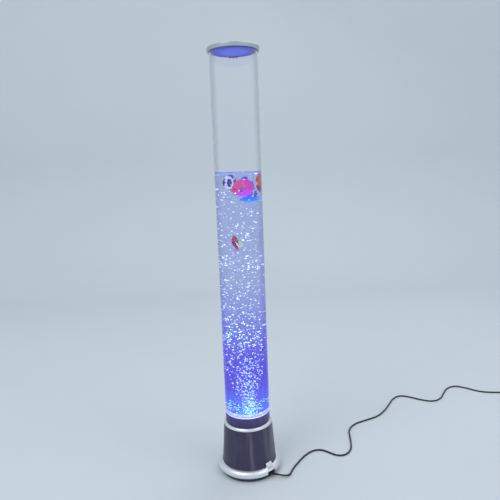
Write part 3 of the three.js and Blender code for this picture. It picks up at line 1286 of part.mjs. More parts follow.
// Tie round the coil's turns, a flat band with rounded corners
function makeCoilTie() {
  const inner = COIL_OUTER_RADIUS - coilPitch * (COIL_IN_LOOP_COUNT + COIL_CLIMB_LOOP_COUNT / 2);
  const low = inner - cordRadius - TIE_THICKNESS - SEAT_GAP;
  const high = COIL_OUTER_RADIUS + cordRadius + TIE_THICKNESS + SEAT_GAP;
  const bottom = CORD_LIFT / 2;
  const top = coilFloorHeight + coilPitch + cordRadius + TIE_THICKNESS + SEAT_GAP;
  const outline = [
    ...roundPoints(high - TIE_ROUND, bottom + TIE_ROUND, TIE_ROUND, TIE_ROUND, -1, 0),
    ...roundPoints(high - TIE_ROUND, top - TIE_ROUND, TIE_ROUND, TIE_ROUND, 0, 1),
    ...roundPoints(low + TIE_ROUND, top - TIE_ROUND, TIE_ROUND, TIE_ROUND, 1, 2),
    ...roundPoints(low + TIE_ROUND, bottom + TIE_ROUND, TIE_ROUND, TIE_ROUND, 2, 3),
  ];
  const middleAcross = (low + high) / 2;
  const middleUp = (bottom + top) / 2;
  const acrossShare = (high - low - TIE_THICKNESS * 2) / (high - low);
  const upShare = (top - bottom - TIE_THICKNESS * 2) / (top - bottom);
  const hole = outline.map(([across, up]) => [
    middleAcross + (across - middleAcross) * acrossShare,
    middleUp + (up - middleUp) * upShare,
  ]);
  const band = radialSlab(outline, TIE_WIDTH, TIE_ANGLE);
  return cut(band, radialSlab(hole, TIE_WIDTH + OVERRUN, TIE_ANGLE));
}
const tie = addPiece('coil_tie', makeCoilTie(), BLACK_RUBBER);
tie.position.set(COIL_CENTRE_X, COIL_CENTRE_Y, 0);

// Adaptor lying on its back, with its relief towards the coil and two round pins pointing up
function roundedOutline(halfAcross, halfAlong, round) {
  return [
    ...roundPoints(halfAcross - round, -halfAlong + round, round, round, -1, 0),
    ...roundPoints(halfAcross - round, halfAlong - round, round, round, 0, 1),
    ...roundPoints(-halfAcross + round, halfAlong - round, round, round, 1, 2),
    ...roundPoints(-halfAcross + round, -halfAlong + round, round, round, 2, 3),
  ];
}
const adaptorGroup = new THREE.Group();
adaptorGroup.position.set(tailX, reliefTipY - ADAPTOR_RELIEF_LENGTH - ADAPTOR_LENGTH / 2, CORD_LIFT);
lamp.add(adaptorGroup);
function makeAdaptorBody() {
  const outline = roundedOutline(ADAPTOR_WIDTH / 2, ADAPTOR_LENGTH / 2, ADAPTOR_ROUND);
  const body = slab(outline, ADAPTOR_THICKNESS - CORD_LIFT);
  const tipRadius = cordRadius + SEAT_GAP;
  const relief = taperedRod(ADAPTOR_RELIEF_ROOT_RADIUS, tipRadius, -OVERRUN, ADAPTOR_RELIEF_LENGTH);
  relief.rotateX(-Math.PI / 2);
  relief.translate(0, ADAPTOR_LENGTH / 2, adaptorAxisHeight - CORD_LIFT);
  const seat = rod(PIN_RADIUS + SEAT_GAP, ADAPTOR_THICKNESS - PIN_SEAT_DEPTH, ADAPTOR_THICKNESS + OVERRUN);
  const seats = [-PIN_SPACING / 2, PIN_SPACING / 2].map((x) => moved(seat, x, 0));
  return cut(join(body, relief), ...seats);
}
addPiece('adaptor_body', makeAdaptorBody(), BLACK_PLASTIC, adaptorGroup);
[-PIN_SPACING / 2, PIN_SPACING / 2].forEach((x, i) => {
  const bottom = ADAPTOR_THICKNESS - PIN_SEAT_DEPTH + SEAT_GAP;
  const top = ADAPTOR_THICKNESS + PIN_LENGTH;
  const round = roundPoints(0, top - PIN_RADIUS, PIN_RADIUS, PIN_RADIUS, 0, 1);
  const pin = turned([[0, bottom], [PIN_RADIUS, bottom], ...round], FINE_SIDES);
  addPiece(`adaptor_pin_${i + 1}`, moved(pin, x, 0), BRIGHT_METAL, adaptorGroup);
});

// Cap: a plate with a rounded edge, a rim outside the tube, a plug inside it and vent slots at the back
function makeTopCap() {
  const rimBore = tubeRadius + CAP_FIT_GAP;
  const plugRadius = tubeBore - CAP_FIT_GAP;
  const plugBottom = capSeat - CAP_PLUG_DEPTH;
  const rimBottom = capSeat - CAP_RIM_DEPTH;
  const edgeCentre = capRadius - CAP_EDGE_ROUND;
  const cap = turned([
    [0, plugBottom],
    [plugRadius, plugBottom],
    [plugRadius, capSeat],
    [rimBore, capSeat],
    [rimBore, rimBottom],
    [capRadius, rimBottom],
    ...roundPoints(edgeCentre, capTop - CAP_EDGE_ROUND, CAP_EDGE_ROUND, CAP_EDGE_ROUND, 0, 1),
    [0, capTop],
  ]);
  const slots = [];
  const slotOuter = plugRadius + CAP_FIT_GAP / 2;
  for (let i = 0; i < CAP_SLOT_COUNT; i += 1) {
    const x = (i - (CAP_SLOT_COUNT - 1) / 2) * CAP_SLOT_PITCH;
    const low = [x - CAP_SLOT_WIDTH / 2, slotOuter - CAP_SLOT_LENGTH, plugBottom - OVERRUN];
    const high = [x + CAP_SLOT_WIDTH / 2, slotOuter, capTop + OVERRUN];
    slots.push(block(low, high));
  }
  return cut(cap, ...slots);
}
addPiece('top_cap', makeTopCap(), SATIN_SILVER);

// Fish bodies, as rings along the length: [place, centre height, half height, half thickness], all as
// shares of the length, the height and the thickness. Fins are outlines in shares of length and height.
const ROUND_BODY_SHARES = [
  [0.0, 0.0, 0.03, 0.10],
  [0.08, 0.01, 0.14, 0.45],
  [0.22, 0.02, 0.31, 0.85],
  [0.40, 0.01, 0.41, 1.0],
  [0.58, 0.0, 0.39, 0.85],
  [0.72, 0.0, 0.23, 0.5],
  [0.80, 0.0, 0.1, 0.22],
];
const DISC_BODY_SHARES = [
  [0.0, 0.0, 0.03, 0.10],
  [0.07, 0.0, 0.14, 0.45],
  [0.20, 0.0, 0.28, 0.85],
  [0.38, 0.01, 0.38, 1.0],
  [0.58, 0.01, 0.41, 0.95],
  [0.74, 0.0, 0.38, 0.75],
  [0.86, 0.0, 0.28, 0.45],
  [0.93, 0.0, 0.16, 0.2],
];
const LONG_BODY_SHARES = [
  [0.0, 0.0, 0.05, 0.12],
  [0.10, 0.02, 0.20, 0.6],
  [0.28, 0.02, 0.34, 1.0],
  [0.50, 0.0, 0.32, 0.9],
  [0.70, 0.0, 0.18, 0.55],
  [0.82, 0.0, 0.08, 0.22],
];
const ROUND_TAIL_SHARES = [
  [0.76, 0.05],
  [0.9, 0.2],
  [1.0, 0.26],
  [0.95, 0.0],
  [1.0, -0.26],
  [0.9, -0.2],
  [0.76, -0.05],
];
const ROUND_BACK_FIN_SHARES = [
  [0.24, 0.2],
  [0.42, 0.44],
  [0.62, 0.5],
  [0.8, 0.46],
  [0.66, 0.3],
  [0.6, 0.12],
];
const ROUND_BELLY_FIN_SHARES = [
  [0.3, -0.2],
  [0.44, -0.42],
  [0.62, -0.5],
  [0.78, -0.44],
  [0.66, -0.28],
  [0.6, -0.12],
];
const DISC_TAIL_SHARES = [
  [0.86, 0.1],
  [0.95, 0.24],
  [1.0, 0.2],
  [0.98, 0.0],
  [1.0, -0.2],
  [0.95, -0.24],
  [0.86, -0.1],
];
const DISC_BACK_FIN_SHARES = [[0.42, 0.3], [0.64, 0.5], [0.82, 0.5], [0.76, 0.26]];
const DISC_BELLY_FIN_SHARES = [[0.5, -0.3], [0.64, -0.46], [0.84, -0.42], [0.84, -0.2]];
const LONG_TAIL_SHARES = [
  [0.78, 0.06],
  [0.9, 0.36],
  [1.0, 0.5],
  [0.94, 0.0],
  [1.0, -0.5],
  [0.9, -0.36],
  [0.78, -0.06],
];
const TALL_BACK_FIN_SHARES = [[0.58, 0.12], [0.66, 0.84], [0.73, 0.9], [0.8, 0.04]];
const BROAD_BACK_FIN_SHARES = [[0.3, 0.1], [0.42, 0.55], [0.56, 0.72], [0.75, 0.66], [0.8, 0.02]];
const LONG_BELLY_FIN_SHARES = [[0.4, -0.2], [0.5, -0.42], [0.64, -0.36], [0.62, -0.1]];

// Body skin through the rings, closed at the nose and at the tail root
function fishBody(shares, length, height, thickness) {
  const positions = [];
  const index = [];
  for (const [place, centre, halfHeight, halfThickness] of shares) {
    for (const angle of spacedAngles(FISH_RING_SIDES)) {
      const across = (thickness / 2) * halfThickness * Math.cos(angle);
      const up = height * (centre + halfHeight * Math.sin(angle));
      positions.push(place * length, across, up);
    }
  }
  const ringStart = (ring) => ring * FISH_RING_SIDES;
  for (let ring = 0; ring < shares.length - 1; ring += 1) {
    for (let i = 0; i < FISH_RING_SIDES; i += 1) {
      const next = (i + 1) % FISH_RING_SIDES;
      const [a, b] = [ringStart(ring) + i, ringStart(ring) + next];
      const [c, d] = [ringStart(ring + 1) + i, ringStart(ring + 1) + next];
      index.push(a, c, b, b, c, d);
    }
  }
  const last = ringStart(shares.length - 1);
  for (let i = 1; i < FISH_RING_SIDES - 1; i += 1) {
    index.push(0, i, i + 1);
    index.push(last, last + i + 1, last + i);
  }
  const geometry = new THREE.BufferGeometry();
  geometry.setAttribute('position', new THREE.Float32BufferAttribute(positions, 3));
  geometry.setIndex(index);
  return geometry;
}

function fishFin(shares, length, height) {
  const geometry = slab(shares.map(([along, up]) => [along * length, up * height]), FIN_THICKNESS);
  geometry.translate(0, 0, -FIN_THICKNESS / 2);
  geometry.rotateX(Math.PI / 2);
  return geometry;
}

// Each fish: its sizes as shares of a whole fish, the place of its middle as shares of the bore and of
// the water's depth below the water line, its heading about Z and its pitch
const FISH = [
  {
    name: 'striped_fish',
    finish: STRIPED_BLUE,
    body: ROUND_BODY_SHARES,
    fins: [ROUND_TAIL_SHARES, ROUND_BACK_FIN_SHARES, ROUND_BELLY_FIN_SHARES],
    sizeShares: [0.94, 0.94, 1],
    placeShares: [-0.32, -0.085, 0.0393],
    heading: 40,
    pitch: 0,
  },
  {
    name: 'pink_fish',
    finish: PINK,
    body: DISC_BODY_SHARES,
    fins: [DISC_TAIL_SHARES, DISC_BACK_FIN_SHARES, DISC_BELLY_FIN_SHARES],
    sizeShares: [1.25, 1.22, 1.12],
    placeShares: [0.165, -0.51, 0.06],
    heading: 6,
    pitch: -12,
  },
  {
    name: 'azure_fish',
    finish: AZURE,
    body: LONG_BODY_SHARES,
    fins: [LONG_TAIL_SHARES, TALL_BACK_FIN_SHARES, LONG_BELLY_FIN_SHARES],
    sizeShares: [0.86, 0.54, 0.88],
    placeShares: [0.36, 0.49, 0.1087],
    heading: 0,
    pitch: 0,
  },
  {
    name: 'orange_fish',
    finish: ORANGE,
    body: ROUND_BODY_SHARES,
    fins: [ROUND_TAIL_SHARES, ROUND_BACK_FIN_SHARES, ROUND_BELLY_FIN_SHARES],
    sizeShares: [1, 1.14, 1],
    placeShares: [0.734, 0.01, 0.0431],
    heading: 84,
    pitch: 0,
  },
  {
    name: 'crimson_fish',
    finish: CRIMSON,
    body: LONG_BODY_SHARES,
    fins: [LONG_TAIL_SHARES, BROAD_BACK_FIN_SHARES, LONG_BELLY_FIN_SHARES],
    sizeShares: [1.02, 0.36, 0.88],
    placeShares: [-0.149, 0.68, 0.288],
    heading: 8,
    pitch: 82,
  },
];
for (const fish of FISH) {
  const [across, back, depth] = fish.placeShares;
  const holder = new THREE.Group();
  holder.position.set(tubeBore * across, tubeBore * back, waterLine - WATER_DEPTH * depth);
  holder.rotation.set(0, THREE.MathUtils.degToRad(fish.pitch), THREE.MathUtils.degToRad(fish.heading), 'ZYX');
  lamp.add(holder);
  const length = FISH_LENGTH * fish.sizeShares[0];
  const height = FISH_LENGTH * fish.sizeShares[1];
  const thickness = FISH_THICKNESS * fish.sizeShares[2];
  const body = fishBody(fish.body, length, height, thickness);
  const fins = fish.fins.map((shares) => fishFin(shares, length, height));
  const geometry = join(body, ...fins).translate(-length / 2, 0, 0);
  addPiece(fish.name, geometry, fish.finish, holder);
}

export default lamp;
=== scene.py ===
# Bubble fish lamp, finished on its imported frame: a clear tube of lit water with bubbles and plastic
# fish on a satin silver base, with a low-voltage lead that runs along the surface to its adaptor.
# Metres, +Z up, in the frame's own place.

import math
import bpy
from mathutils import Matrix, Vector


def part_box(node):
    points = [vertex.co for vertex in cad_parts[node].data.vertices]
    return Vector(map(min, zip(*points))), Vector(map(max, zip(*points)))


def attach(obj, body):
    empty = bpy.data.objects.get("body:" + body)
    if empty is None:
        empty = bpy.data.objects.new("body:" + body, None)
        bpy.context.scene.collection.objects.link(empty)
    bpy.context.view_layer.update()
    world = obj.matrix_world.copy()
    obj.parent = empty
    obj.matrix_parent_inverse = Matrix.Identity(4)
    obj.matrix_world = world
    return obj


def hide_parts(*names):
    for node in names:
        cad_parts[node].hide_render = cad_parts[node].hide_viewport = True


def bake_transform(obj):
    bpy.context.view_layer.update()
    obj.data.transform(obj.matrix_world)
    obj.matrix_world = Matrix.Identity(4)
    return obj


bl_info = {
    "name": "Bubble Fish Lamp",
    "version": (1, 0, 0),
    "blender": (4, 5, 0),
    "location": "3D View > Sidebar > Lamp",
    "description": "Finishes a bubble fish lamp on its packed frame",
    "category": "Object",
}

import bmesh
import bpy
from mathutils import Matrix, Vector, noise

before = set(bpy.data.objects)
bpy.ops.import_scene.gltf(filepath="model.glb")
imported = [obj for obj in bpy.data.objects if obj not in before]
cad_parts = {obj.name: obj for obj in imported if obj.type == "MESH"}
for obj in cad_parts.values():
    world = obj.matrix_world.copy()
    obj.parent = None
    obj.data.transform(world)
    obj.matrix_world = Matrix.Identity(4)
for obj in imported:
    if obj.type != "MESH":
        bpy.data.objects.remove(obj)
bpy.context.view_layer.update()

MM = 0.001


def low(node_name):
    """Lowest corner of a frame node."""
    return Vector(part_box(node_name)[0])


def high(node_name):
    """Highest corner of a frame node."""
    return Vector(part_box(node_name)[1])


def middle(node_name):
    return (low(node_name) + high(node_name)) / 2


TUBE_RADIUS = high("tube").x
TUBE_BOTTOM = low("tube").z
TUBE_TOP = high("tube").z
DISC_TOP = high("bubble_disc").z
SHELL_BOTTOM_RADIUS = 61.4 * MM
SHELL_TOP_RADIUS = 54.8 * MM
SHELL_BOTTOM = 17.2 * MM
SHELL_WALL = 2.6 * MM
SHOULDER_EDGE = 112.5 * MM
SHOULDER_TOP = 118 * MM
SHOULDER_UNDERSIDE = 111 * MM
NOTCH_HALF_WIDTH = 10.5 * MM
NOTCH_TOP = 18 * MM
EXIT_ANGLE = math.radians(-48)
NOSE_TURN = math.radians(26)

# Camera, from the photograph's perspective: its place, and its turn as yaw, pitch down and roll
CAMERA_PLACE = (0.0, -1.0735, 0.6744)
CAMERA_YAW = 0.018
CAMERA_PITCH = 0.155
CAMERA_ROLL = -0.038
CAMERA_LENS = 36.0

EVEN = (1.0, 1.0, 1.0)
BLACK = (0.0, 0.0, 0.0)
SHADER_TREE = "ShaderNodeTree"
GEOMETRY_TREE = "GeometryNodeTree"
ROUND_SIDES = 128
FINE_SIDES = 160
SMALL_SIDES = 48
TINY = 1e-7
TO_BACK = Matrix.Rotation(-math.pi / 2, 4, "X")


def length_property(label, note, millimetres):
    return bpy.props.FloatProperty(name=label, description=note, default=millimetres * MM, unit="LENGTH")


def colour_property(label, note, default):
    return bpy.props.FloatVectorProperty(
        name=label, description=note, default=default, size=3, subtype="COLOR", min=0.0, max=1.0
    )


class LampSizes(bpy.types.PropertyGroup):
    """Sizes of the finish that a user would change."""

    tube_wall: length_property("Tube wall", "Thickness of the clear tube's wall", 3)
    water_line: length_property("Water line", "Height of the water above the surface", 674)
    bubble_smallest: length_property("Smallest bubble", "Radius of the smallest bubbles", 0.4)
    bubble_largest: length_property("Largest bubble", "Radius of the largest bubbles", 1.65)
    bubble_count: bpy.props.IntProperty(
        name="Bubbles", description="Number that each group takes a share of", default=3000, min=10, max=6000
    )
    cord_diameter: length_property("Lead diameter", "Outside diameter of the low-voltage lead", 4)
    glow: bpy.props.FloatProperty(
        name="Glow", description="Strength of the light in the water", default=1.0, min=0.0, max=4.0
    )


class LampColours(bpy.types.PropertyGroup):
    """Colours of the finish that a user would change."""

    silver: colour_property("Silver", "Bright silver of the foot ring, shoulder and cap", (0.80, 0.81, 0.87))
    # Silver darkened by painted shade and reflection, for the shell's side and neck.
    shaded_silver: colour_property("Shaded Silver", "Darker silver of the shell's side and neck", (0.075, 0.065, 0.12))
    water_top: colour_property("Water, top", "Glow of the water near its surface", (0.0, 0.0, 0.04))
    water_low: colour_property("Water, low", "Glow of the water near the lights", (0.018, 0.078, 0.38))
    light_tint: colour_property("Light", "Colour of the light on the perforated disc", (0.55, 0.85, 1.0))
    cable: colour_property("Lead", "Colour of the lead and the adaptor", (0.004, 0.004, 0.005))
    backdrop: colour_property("Backdrop", "Colour of the floor and the backdrop", (0.60, 0.66, 0.71))


def sizes():
    return bpy.context.scene.lamp_sizes


def colours():
    return bpy.context.scene.lamp_colours


def tube_bore():
    """Inner radius of the tube."""
    return TUBE_RADIUS - sizes().tube_wall


# Node trees


class Nodes:
    """Adds nodes to one tree. Each input is given as a value or as a socket to link from."""

    def __init__(self, tree):
        self.tree = tree

    def feed(self, socket, value):
        if isinstance(value, bpy.types.NodeSocket):
            self.tree.links.new(value, socket)
        elif socket.type == "RGBA":
            socket.default_value = (*value, 1.0)
        else:
            socket.default_value = value

    def add(self, kind, inputs=(), **settings):
        """Adds a node and returns its outputs."""
        made = self.tree.nodes.new(kind)
        for key, value in settings.items():
            setattr(made, key, value)
        for key, value in dict(inputs).items():
            self.feed(made.inputs[key], value)
        return made.outputs

    def maths(self, operation, first, second=0.0, clamp=False):
        return self.add("ShaderNodeMath", {0: first, 1: second}, operation=operation, use_clamp=clamp)[0]

    def plus(self, first, second):
        return self.maths("ADD", first, second)

    def minus(self, first, second):
        return self.maths("SUBTRACT", first, second)

    def times(self, first, second):
        return self.maths("MULTIPLY", first, second)

    def mix(self, share, first, second):
        """A colour between two."""
        return self.add("ShaderNodeMix", {0: share, 6: first, 7: second}, data_type="RGBA")[2]

    def ramp(self, value, start, end):
        """0 below start, 1 above end, and smooth between them."""
        given = {"Value": value, "From Min": start, "From Max": end}
        return self.add("ShaderNodeMapRange", given, interpolation_type="SMOOTHSTEP")["Result"]

    def place(self):
        return self.add("ShaderNodeTexCoord")["Object"]

    def parts(self, vector):
        return self.add("ShaderNodeSeparateXYZ", {0: vector})

    def vector(self, x, y, z=0.0):
        return self.add("ShaderNodeCombineXYZ", {0: x, 1: y, 2: z})[0]

    def vector_maths(self, operation, first, second=BLACK):
        return self.add("ShaderNodeVectorMath", {0: first, 1: second}, operation=operation)

    def from_axis(self):
        """Distance from the lamp's upright axis."""
        parts = self.parts(self.place())
        return self.vector_maths("LENGTH", self.vector(parts["X"], parts["Y"]))["Value"]

    def cloud(self, vector, scale, detail=3.0, roughness=0.5, distortion=0.0):
        labels = ("Vector", "Scale", "Detail", "Roughness", "Distortion")
        values = (vector, scale, detail, roughness, distortion)
        return self.add("ShaderNodeTexNoise", dict(zip(labels, values)))["Fac"]

    def swing(self, cloud, width):
        """A cloud's value, turned into a swing to both sides of 0."""
        return self.times(self.minus(cloud, 0.5), width)

    def attribute(self, name):
        return self.add("ShaderNodeAttribute", attribute_name=name)

    def group(self, name, labels, values):
        return self.add("ShaderNodeGroup", dict(zip(labels, values)), node_tree=bpy.data.node_groups[name])

    def marks(self, colour, tone, amount=0.35, scale=22.0, stretch=EVEN):
        return self.group("Soft Marks", MARK_INPUTS, (colour, tone, amount, scale, stretch))["Colour"]

    def grain(self, scale, roughness, spread, stretch=EVEN):
        return self.group("Fine Grain", GRAIN_INPUTS, (scale, roughness, spread, stretch))

    def by_height(self, heights, tones, waver=0.0):
        return self.group("Height Blend", HEIGHT_INPUTS, (*heights, *tones, waver))["Colour"]

    def bump(self, shader, height, relief, strength=1.0):
        """A relief on the shader, its depth in millimetres."""
        given = {"Height": height, "Distance": relief * MM, "Strength": strength}
        self.feed(shader["Normal"], self.add("ShaderNodeBump", given)["Normal"])


GRAIN_INPUTS = {"Scale": "Float", "Roughness": "Float", "Spread": "Float", "Stretch": "Vector"}
MARK_INPUTS = {"Colour": "Color", "Marks": "Color", "Amount": "Float", "Scale": "Float", "Stretch": "Vector"}
HEIGHT_INPUTS = {
    **dict.fromkeys(("Bottom", "Low End", "High Start", "Top"), "Float"),
    **dict.fromkeys(("Low Colour", "Middle Colour", "High Colour"), "Color"),
    "Waver": "Float",
}
PAINT_INPUTS = {
    **dict.fromkeys(("Front", "Rear", "Belly", "Fins", "Back Fin", "Spot"), "Color"),
    "Spot Place": "Vector",
    "Spot Radius": "Float",
    "Bars": "Color",
    **dict.fromkeys(("Bar Count", "Bar Strength", "Bar Shift", "Bar Curve"), "Float"),
}


def new_group(name, tree_kind, inputs, outputs):
    """A node group with named inputs and outputs: its nodes, what it is given and its result."""
    tree = bpy.data.node_groups.new(name, tree_kind)
    for side, labels in (("INPUT", inputs), ("OUTPUT", outputs)):
        for label, kind in labels.items():
            tree.interface.new_socket(label, in_out=side, socket_type="NodeSocket" + kind)
    given = tree.nodes.new("NodeGroupInput").outputs
    return Nodes(tree), given, tree.nodes.new("NodeGroupOutput").inputs


def make_fine_grain_group():
    """Small unevenness of a moulded, sprayed or rolled surface, as a roughness and a height."""
    outputs = {"Roughness": "Float", "Height": "Float"}
    nodes, given, result = new_group("Fine Grain", SHADER_TREE, GRAIN_INPUTS, outputs)
    place = nodes.place()
    stretched = nodes.vector_maths("MULTIPLY", place, given["Stretch"])[0]
    fine = nodes.cloud(stretched, given["Scale"], 3.0, 0.6)
    broad = nodes.cloud(place, 28.0, 4.0)
    change = nodes.times(nodes.minus(nodes.plus(broad, fine), 1.0), given["Spread"])
    nodes.feed(result["Roughness"], nodes.maths("ADD", given["Roughness"], change, clamp=True))
    nodes.feed(result["Height"], fine)


def make_soft_marks_group():
    """Faint wipe marks and dust, which turn a colour a little towards another; on the shell's side, long
    streaks of painted reflection.
    """
    nodes, given, result = new_group("Soft Marks", SHADER_TREE, MARK_INPUTS, {"Colour": "Color"})
    stretched = nodes.vector_maths("MULTIPLY", nodes.place(), given["Stretch"])[0]
    cloud = nodes.cloud(stretched, given["Scale"], 5.0, 0.62, 0.4)
    share = nodes.times(nodes.ramp(cloud, 0.42, 0.72), given["Amount"])
    nodes.feed(result["Colour"], nodes.mix(share, given["Colour"], given["Marks"]))


def make_height_blend_group():
    """A colour that runs from one height to another through a middle colour."""
    nodes, given, result = new_group("Height Blend", SHADER_TREE, HEIGHT_INPUTS, {"Colour": "Color"})
    place = nodes.place()
    level = nodes.plus(nodes.parts(place)["Z"], nodes.swing(nodes.cloud(place, 30.0), given["Waver"]))
    lower = nodes.ramp(level, given["Bottom"], given["Low End"])
    upper = nodes.ramp(level, given["High Start"], given["Top"])
    base = nodes.mix(lower, given["Low Colour"], given["Middle Colour"])
    nodes.feed(result["Colour"], nodes.mix(upper, base, given["High Colour"]))


def make_fish_paint_group():
    """Sprayed paint of a toy fish, placed by the attribute that holds each point's place on the fish.

    The attribute's first two values are shares of the fish's length and height. Its third is 0 on
    the body, runs up to 1 on a fin, and down to -1 on the back fin.
    """
    outputs = {"Colour": "Color", "Height": "Float"}
    nodes, given, result = new_group("Fish Paint", SHADER_TREE, PAINT_INPUTS, outputs)
    place = nodes.attribute("fish_place")["Vector"]
    along, up, fin = nodes.parts(place)
    swing = nodes.swing(nodes.cloud(place, 7.0), 0.16)
    reach = nodes.plus(along, swing)
    height = nodes.plus(up, swing)
    body = nodes.mix(nodes.ramp(reach, 0.42, 0.78), given["Front"], given["Rear"])
    # The lower part of the body takes the belly colour, which holds painted light from below as well as the
    # belly's own tone.
    body = nodes.mix(nodes.ramp(nodes.times(height, -1.0), 0.08, 0.24), body, given["Belly"])
    from_middle = nodes.maths("ABSOLUTE", nodes.minus(reach, FISH_MIDDLE))
    squares = [nodes.times(side, side) for side in (from_middle, nodes.times(up, 0.7))]
    ring = nodes.maths("SQRT", nodes.plus(*squares))
    swerve = nodes.times(nodes.minus(ring, reach), given["Bar Curve"])
    turns = nodes.times(nodes.plus(reach, swerve), given["Bar Count"])
    wave = nodes.maths("SINE", nodes.plus(nodes.times(turns, 2 * math.pi), given["Bar Shift"]))
    bars = nodes.times(nodes.ramp(wave, 0.0, 0.35), given["Bar Strength"])
    body = nodes.mix(bars, body, given["Bars"])
    gap = nodes.vector_maths("DISTANCE", place, given["Spot Place"])["Value"]
    spot = nodes.ramp(nodes.minus(given["Spot Radius"], gap), 0.0, 0.02)
    body = nodes.mix(spot, body, given["Spot"])
    rays = nodes.maths("SINE", nodes.times(nodes.plus(along, up), 120.0))
    on_back = nodes.ramp(nodes.times(fin, -1.0), 0.0, 0.1)
    fin = nodes.maths("ABSOLUTE", fin)
    fins = nodes.mix(on_back, given["Fins"], given["Back Fin"])
    fins = nodes.mix(nodes.times(nodes.maths("ABSOLUTE", rays), 0.15), fins, (0.9, 0.9, 0.95))
    nodes.feed(result["Colour"], nodes.mix(nodes.ramp(fin, 0.15, 0.6), body, fins))
    scales = nodes.add("ShaderNodeTexVoronoi", {"Vector": place, "Scale": 26.0})["Distance"]
    relief = nodes.times(scales, nodes.minus(1.0, fin))
    ridge = nodes.times(rays, nodes.times(fin, 0.6))
    nodes.feed(result["Height"], nodes.plus(relief, ridge))


# Finishes

MATERIALS = {}


def new_material(key, name, even, glow=0.0):
    """A material with one Principled shader, whose even values are set straight on its sockets."""
    material = bpy.data.materials.new(name)
    material.use_nodes = True
    MATERIALS[key] = material
    shader = material.node_tree.nodes["Principled BSDF"].inputs
    for label, value in {"Emission Strength": glow * sizes().glow, **even}.items():
        shader[label].default_value = value
    return Nodes(material.node_tree), shader


def lighter(colour, share):
    return tuple(c + (1.0 - c) * share for c in colour)


def make_surface(key, name, colour, marks, even, roughness, spread, grain, relief, stretch=EVEN, reflection_streaks=()):
    """A solid finish with faint marks, or long streaks of painted reflection where given, uneven gloss and a
    fine relief in millimetres.
    """
    nodes, shader = new_material(key, name, even)
    fine = nodes.grain(grain, roughness, spread, stretch)
    nodes.feed(shader["Base Color"], nodes.marks(colour, marks, *reflection_streaks))
    nodes.feed(shader["Roughness"], fine["Roughness"])
    nodes.bump(shader, fine["Height"], relief)
    return nodes, shader


def make_surfaces():
    silver, cable = colours().silver, colours().cable
    # The cap's silver: the same satin silver, darker as painted shade.
    shaded_cap_silver = (0.47, 0.52, 0.56)
    satin, metal, lacquer = {"Metallic": 0.85}, {"Metallic": 1.0}, {"Coat Weight": 0.8}
    rows = [
        ("silver", "Satin Silver", silver, lighter(silver, 0.2), satin, 0.36, 0.10, 1400, 0.01),
        ("cap", "Satin Cap Silver", shaded_cap_silver, lighter(shaded_cap_silver, 0.1), satin, 0.34, 0.10, 1400, 0.01),
        ("plate", "Dark Grey Plastic", (0.03, 0.032, 0.04), (0.05, 0.05, 0.06), {}, 0.5, 0.16, 1600, 0.03),
        (
            "grey_plastic", "Grey Moulded Plastic", (0.07, 0.075, 0.085), (0.11, 0.11, 0.12),
            {}, 0.52, 0.16, 1600, 0.03,
        ),
        ("black_plastic", "Black Moulded Plastic", cable, lighter(cable, 0.05), {}, 0.42, 0.18, 1800, 0.03),
        ("cable", "Lead Sheath", cable, lighter(cable, 0.04), {"Coat Weight": 0.1}, 0.38, 0.14, 1500, 0.02),
        (
            "rubber", "Black Rubber", (0.014, 0.014, 0.015), (0.035, 0.034, 0.033),
            {}, 0.72, 0.20, 1300, 0.05,
        ),
        ("steel", "Zinc Plated Steel", (0.46, 0.47, 0.48), (0.36, 0.37, 0.40), metal, 0.33, 0.16, 700, 0.02),
        ("bright", "Bright Nickel", (0.66, 0.66, 0.67), (0.56, 0.56, 0.58), metal, 0.18, 0.10, 900, 0.008),
        (
            "white_plastic", "White Moulded Plastic", (0.72, 0.73, 0.72), (0.62, 0.63, 0.62),
            {}, 0.40, 0.12, 1200, 0.02,
        ),
        (
            "board", "Green Circuit Board", (0.015, 0.09, 0.035), (0.03, 0.14, 0.05),
            {"Coat Weight": 0.5}, 0.34, 0.14, 2000, 0.02,
        ),
        (
            "iron", "Laminated Iron", (0.05, 0.05, 0.055), (0.09, 0.085, 0.08),
            {"Metallic": 0.6}, 0.50, 0.20, 2600, 0.05,
        ),
        (
            "copper", "Wound Copper Wire", (0.36, 0.11, 0.04), (0.22, 0.06, 0.02),
            {"Metallic": 0.9}, 0.36, 0.14, 3000, 0.10,
        ),
        (
            "silicone", "Clear Silicone", (0.62, 0.66, 0.67), (0.55, 0.60, 0.62),
            {"Alpha": 0.75}, 0.35, 0.12, 900, 0.02,
        ),
        ("eye_white", "Eye White", (0.85, 0.85, 0.80), (0.80, 0.78, 0.70), lacquer, 0.18, 0.06, 2500, 0.005),
        ("eye_red", "Eye Red", (0.38, 0.0, 0.08), (0.65, 0.04, 0.08), lacquer, 0.18, 0.06, 2500, 0.005),
        (
            "eye_black", "Eye Black", (0.006, 0.006, 0.008), (0.02, 0.02, 0.02),
            lacquer, 0.12, 0.06, 2500, 0.005,
        ),
    ]
    for row in rows:
        make_surface(*row)


def make_shaded_silver():
    """Brushed silver darkened by painted shade and reflection, with long streaks of painted reflection, and a
    painted glow of the tube's blue light on the neck under it.
    """
    shaded_silver = colours().shaded_silver
    tones = (shaded_silver, lighter(shaded_silver, 0.12))
    gloss = ({"Metallic": 0.85}, 0.36, 0.08, 500, 0.006)
    # Long upright streaks in the colour are painted reflection bands; the brushed grain is only in gloss and
    # relief.
    brushed, reflection_streaks = (0.2, 0.2, 4.0), (1.0, 30.0, (1.0, 1.0, 0.05))
    nodes, shader = make_surface("shaded_silver", "Dark Satin Silver", *tones, *gloss, brushed, reflection_streaks)
    heights = (0.0, 0.01, SHOULDER_TOP, TUBE_BOTTOM + 2 * MM)
    # Painted glow: the tube's blue light on the neck, as emission that rises with height.
    nodes.feed(shader["Emission Color"], nodes.by_height(heights, (BLACK, BLACK, (0.05, 0.025, 0.36))))
    shader["Emission Strength"].default_value = 0.4 * sizes().glow


